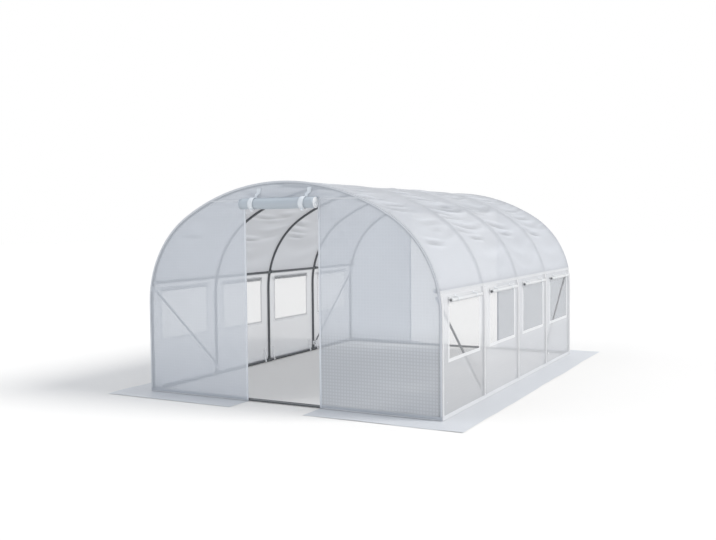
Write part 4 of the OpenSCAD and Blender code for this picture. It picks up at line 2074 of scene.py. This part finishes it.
@dataclass
class SteelFrame(Part):
    """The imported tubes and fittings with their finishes, and the screws that hold them."""

    tunnel: Tunnel = TUNNEL
    head_r: float = 0.0048
    head_h: float = 0.0034
    dome: Range = (0.0011, 0.0004)
    flange: float = 1.45
    flange_h: float = 0.0008
    edge: float = 0.0003
    sunk: float = 0.0005
    rail_drop: float = 0.0253
    shoulder_rise: float = 0.195
    socket_z: float = 0.046

    def finish_nodes(self) -> None:
        """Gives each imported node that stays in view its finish."""
        kinds = {Slot.STEEL.value: STEEL, Slot.PLASTIC.value: PLASTIC}
        for row in frame["record"]["subparts"]:
            # The braces get the paler steel, painted light.
            finish = BRACE_STEEL_PAINTED_LIT if row["node"].endswith("_braces") else kinds.get(row["material_slot"])
            if finish is None:
                continue
            node = frame["nodes"][row["node"]]
            for slot in node.material_slots:
                slot.material = finish.material()
            LOG.info("%s: finished as %s", node.name, finish.name)

    def screw(self) -> Piece:
        """A hexagon screw with a flange, modelled once, standing on the XY plane.

        Returns:
            The model.
        """
        choose()
        size = {"vertices": 6, "radius": self.head_r, "depth": self.head_h}
        bpy.ops.mesh.primitive_cylinder_add(**size, location=(0, 0, self.head_h / 2))
        head = bpy.context.object
        bpy.ops.object.transform_apply(location=True, rotation=True, scale=True)
        bpy.ops.object.mode_set(mode="EDIT")
        pick_faces(head, UP)
        rim, rise = self.dome
        bpy.ops.mesh.inset(thickness=rim, depth=rise)
        pick_faces(head, DOWN)
        bpy.ops.mesh.extrude_region_move()
        bpy.ops.transform.resize(value=(self.flange, self.flange, 1.0))
        bpy.ops.mesh.extrude_region_move(TRANSFORM_OT_translate={"value": (0, 0, -self.flange_h)})
        bpy.ops.object.mode_set(mode="OBJECT")
        return apply(head, "BEVEL", width=self.edge, segments=2, limit_method="ANGLE")

    def screw_places(self) -> list[Matrix]:
        """Where the screws go: under every clamp and on the inner side of every post socket.

        Returns:
            A matrix for each screw.
        """
        t, r = self.tunnel, self.tunnel.inset
        rail_r = t.bend_r - r - self.rail_drop
        turn = math.asin(self.shoulder_rise / rail_r)
        spots: list[tuple[Sequence[float], Sequence[float]]] = []
        for y in t.hoops:
            spots.append(((0.0, y, t.height - 2 * r - self.rail_drop - self.sunk), DOWN))
            for side in (-1, 1):
                out = Vector((side * math.cos(turn), 0.0, math.sin(turn)))
                centre = Vector((side * t.bend_x, y, t.spring))
                spots.append((centre + out * (rail_r - r - self.sunk), -out))
                spots.append(((side * (t.half_w - 2 * r - self.sunk), y, self.socket_z), (-side, 0.0, 0.0)))
        turns = [Vector(facing).to_track_quat("Z", "Y").to_matrix().to_4x4() for _, facing in spots]
        return [Matrix.Translation(spot) @ turn for (spot, _), turn in zip(spots, turns)]

    def build(self) -> list[Piece]:
        """Finishes the nodes and sets the screws.

        Returns:
            All the screws as one piece.
        """
        self.finish_nodes()
        screws = copies("frame_screws", self.screw(), self.screw_places())
        return [dress(screws, ZINC, Slot.STEEL, report="modelled")]


# Stage


@dataclass(frozen=True)
class Sun:
    """A distant light. The spread is its apparent width in degrees."""

    name: str
    power: float
    spread: float
    colour: Triple
    towards: Triple

    def add(self) -> None:
        """Adds the light."""
        data = bpy.data.lights.new(self.name, "SUN")
        data.energy, data.angle, data.color = self.power, math.radians(self.spread), self.colour
        sun = bpy.data.objects.new(self.name, data)
        sun.rotation_mode = "QUATERNION"
        sun.rotation_quaternion = Vector(self.towards).to_track_quat("-Z", "Y")
        bpy.context.scene.collection.objects.link(sun)


@dataclass
class Studio:
    """Camera, soft light, white surroundings and a pale floor. Angles of the camera are in radians.

    A broad soft light comes from the upper right, and a weak one from the front left.
    """

    camera_at: Triple = (4.13217973, -8.36695317, 1.57614659)
    yaw: float = 0.488236004
    pitch: float = -0.0523153871
    roll: float = -0.0089531647
    focal_px: float = 869.101516
    image_px: int = 716
    sensor_mm: float = 36.0
    view_end: float = 200.0
    floor_half: float = 60.0
    floor_z: float = -0.0004
    key: Sun = Sun("key", 2.4, 24.0, colour=(1.0, 0.985, 0.96), towards=(-0.8, -0.22, -0.64))
    fill: Sun = Sun("fill", 0.60, 60.0, colour=(0.95, 0.975, 1.0), towards=(0.85, 0.47, -0.66))
    sky: Triple = (0.60, 0.625, 0.67)

    def camera(self) -> None:
        """Sets up the camera at the photograph's viewing angle."""
        data = bpy.data.cameras.new("camera")
        data.sensor_fit, data.sensor_width = "HORIZONTAL", self.sensor_mm
        data.lens = self.focal_px / self.image_px * self.sensor_mm
        data.clip_end = self.view_end
        level_way = Vector((-math.sin(self.yaw), math.cos(self.yaw), 0.0))
        ahead = level_way * math.cos(self.pitch) + Vector(UP) * math.sin(self.pitch)
        right = Vector((math.cos(self.yaw), math.sin(self.yaw), 0.0))
        up = right.cross(ahead)
        cos, sin = math.cos(self.roll), math.sin(self.roll)
        turn = Matrix((right * cos + up * sin, up * cos - right * sin, -ahead)).transposed().to_4x4()
        camera = bpy.data.objects.new("camera", data)
        camera.matrix_world = Matrix.Translation(self.camera_at) @ turn
        bpy.context.scene.collection.objects.link(camera)
        bpy.context.scene.camera = camera

    def surroundings(self) -> None:
        """White to look at, a little bluish as light."""
        world = bpy.data.worlds.new("studio")
        world.use_nodes = True
        graph = Graph(world.node_tree)
        rays = graph.outputs(graph.node("ShaderNodeLightPath"))
        seen = rays["Is Camera Ray"].most(rays["Is Glossy Ray"]).most(rays["Is Transmission Ray"])
        light = graph.node("ShaderNodeBackground", sockets={"Color": (*self.sky, 1.0)})
        white = graph.node("ShaderNodeBackground", sockets={"Color": (1.0, 1.0, 1.0, 1.0)})
        graph.node("ShaderNodeOutputWorld", sockets={"Surface": graph.mix(seen, light, white)})
        bpy.context.scene.world = world

    def floor(self) -> None:
        """A wide pale floor just under the skirts."""
        signs = ((-1, -1), (1, -1), (1, 1), (-1, 1))
        corners = np.array([(x * self.floor_half, y * self.floor_half, self.floor_z) for x, y in signs])
        floor = new_piece("floor", corners, np.array([[0, 1, 2, 3]]))
        floor.data.materials.append(FLOOR.material())

    def build(self) -> None:
        """Sets the stage."""
        self.camera()
        self.key.add()
        self.fill.add()
        self.surroundings()
        self.floor()
        bpy.context.scene.view_settings.view_transform = "Standard"


def main() -> None:
    """Builds the scene in order."""
    logging.basicConfig(level=logging.INFO, format="%(message)s", stream=sys.stdout)
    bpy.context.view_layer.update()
    Studio().build()
    walls = [SideWall(side) for side in Side]
    parts: list[Part] = [SteelFrame(), RoofCover(), *walls]
    parts += [EndWall(end, DOOR_W[end]) for end in End]
    parts += [Skirts(DOOR_W), *(WindowNets(wall) for wall in walls)]
    parts += [RolledDoors(DOOR_W), RolledFlaps(), FootStraps(), DoorZips(DOOR_W)]
    count = sum(len(part.build()) for part in parts)
    LOG.info("%d pieces made", count)


if __name__ == "__main__":
    main()
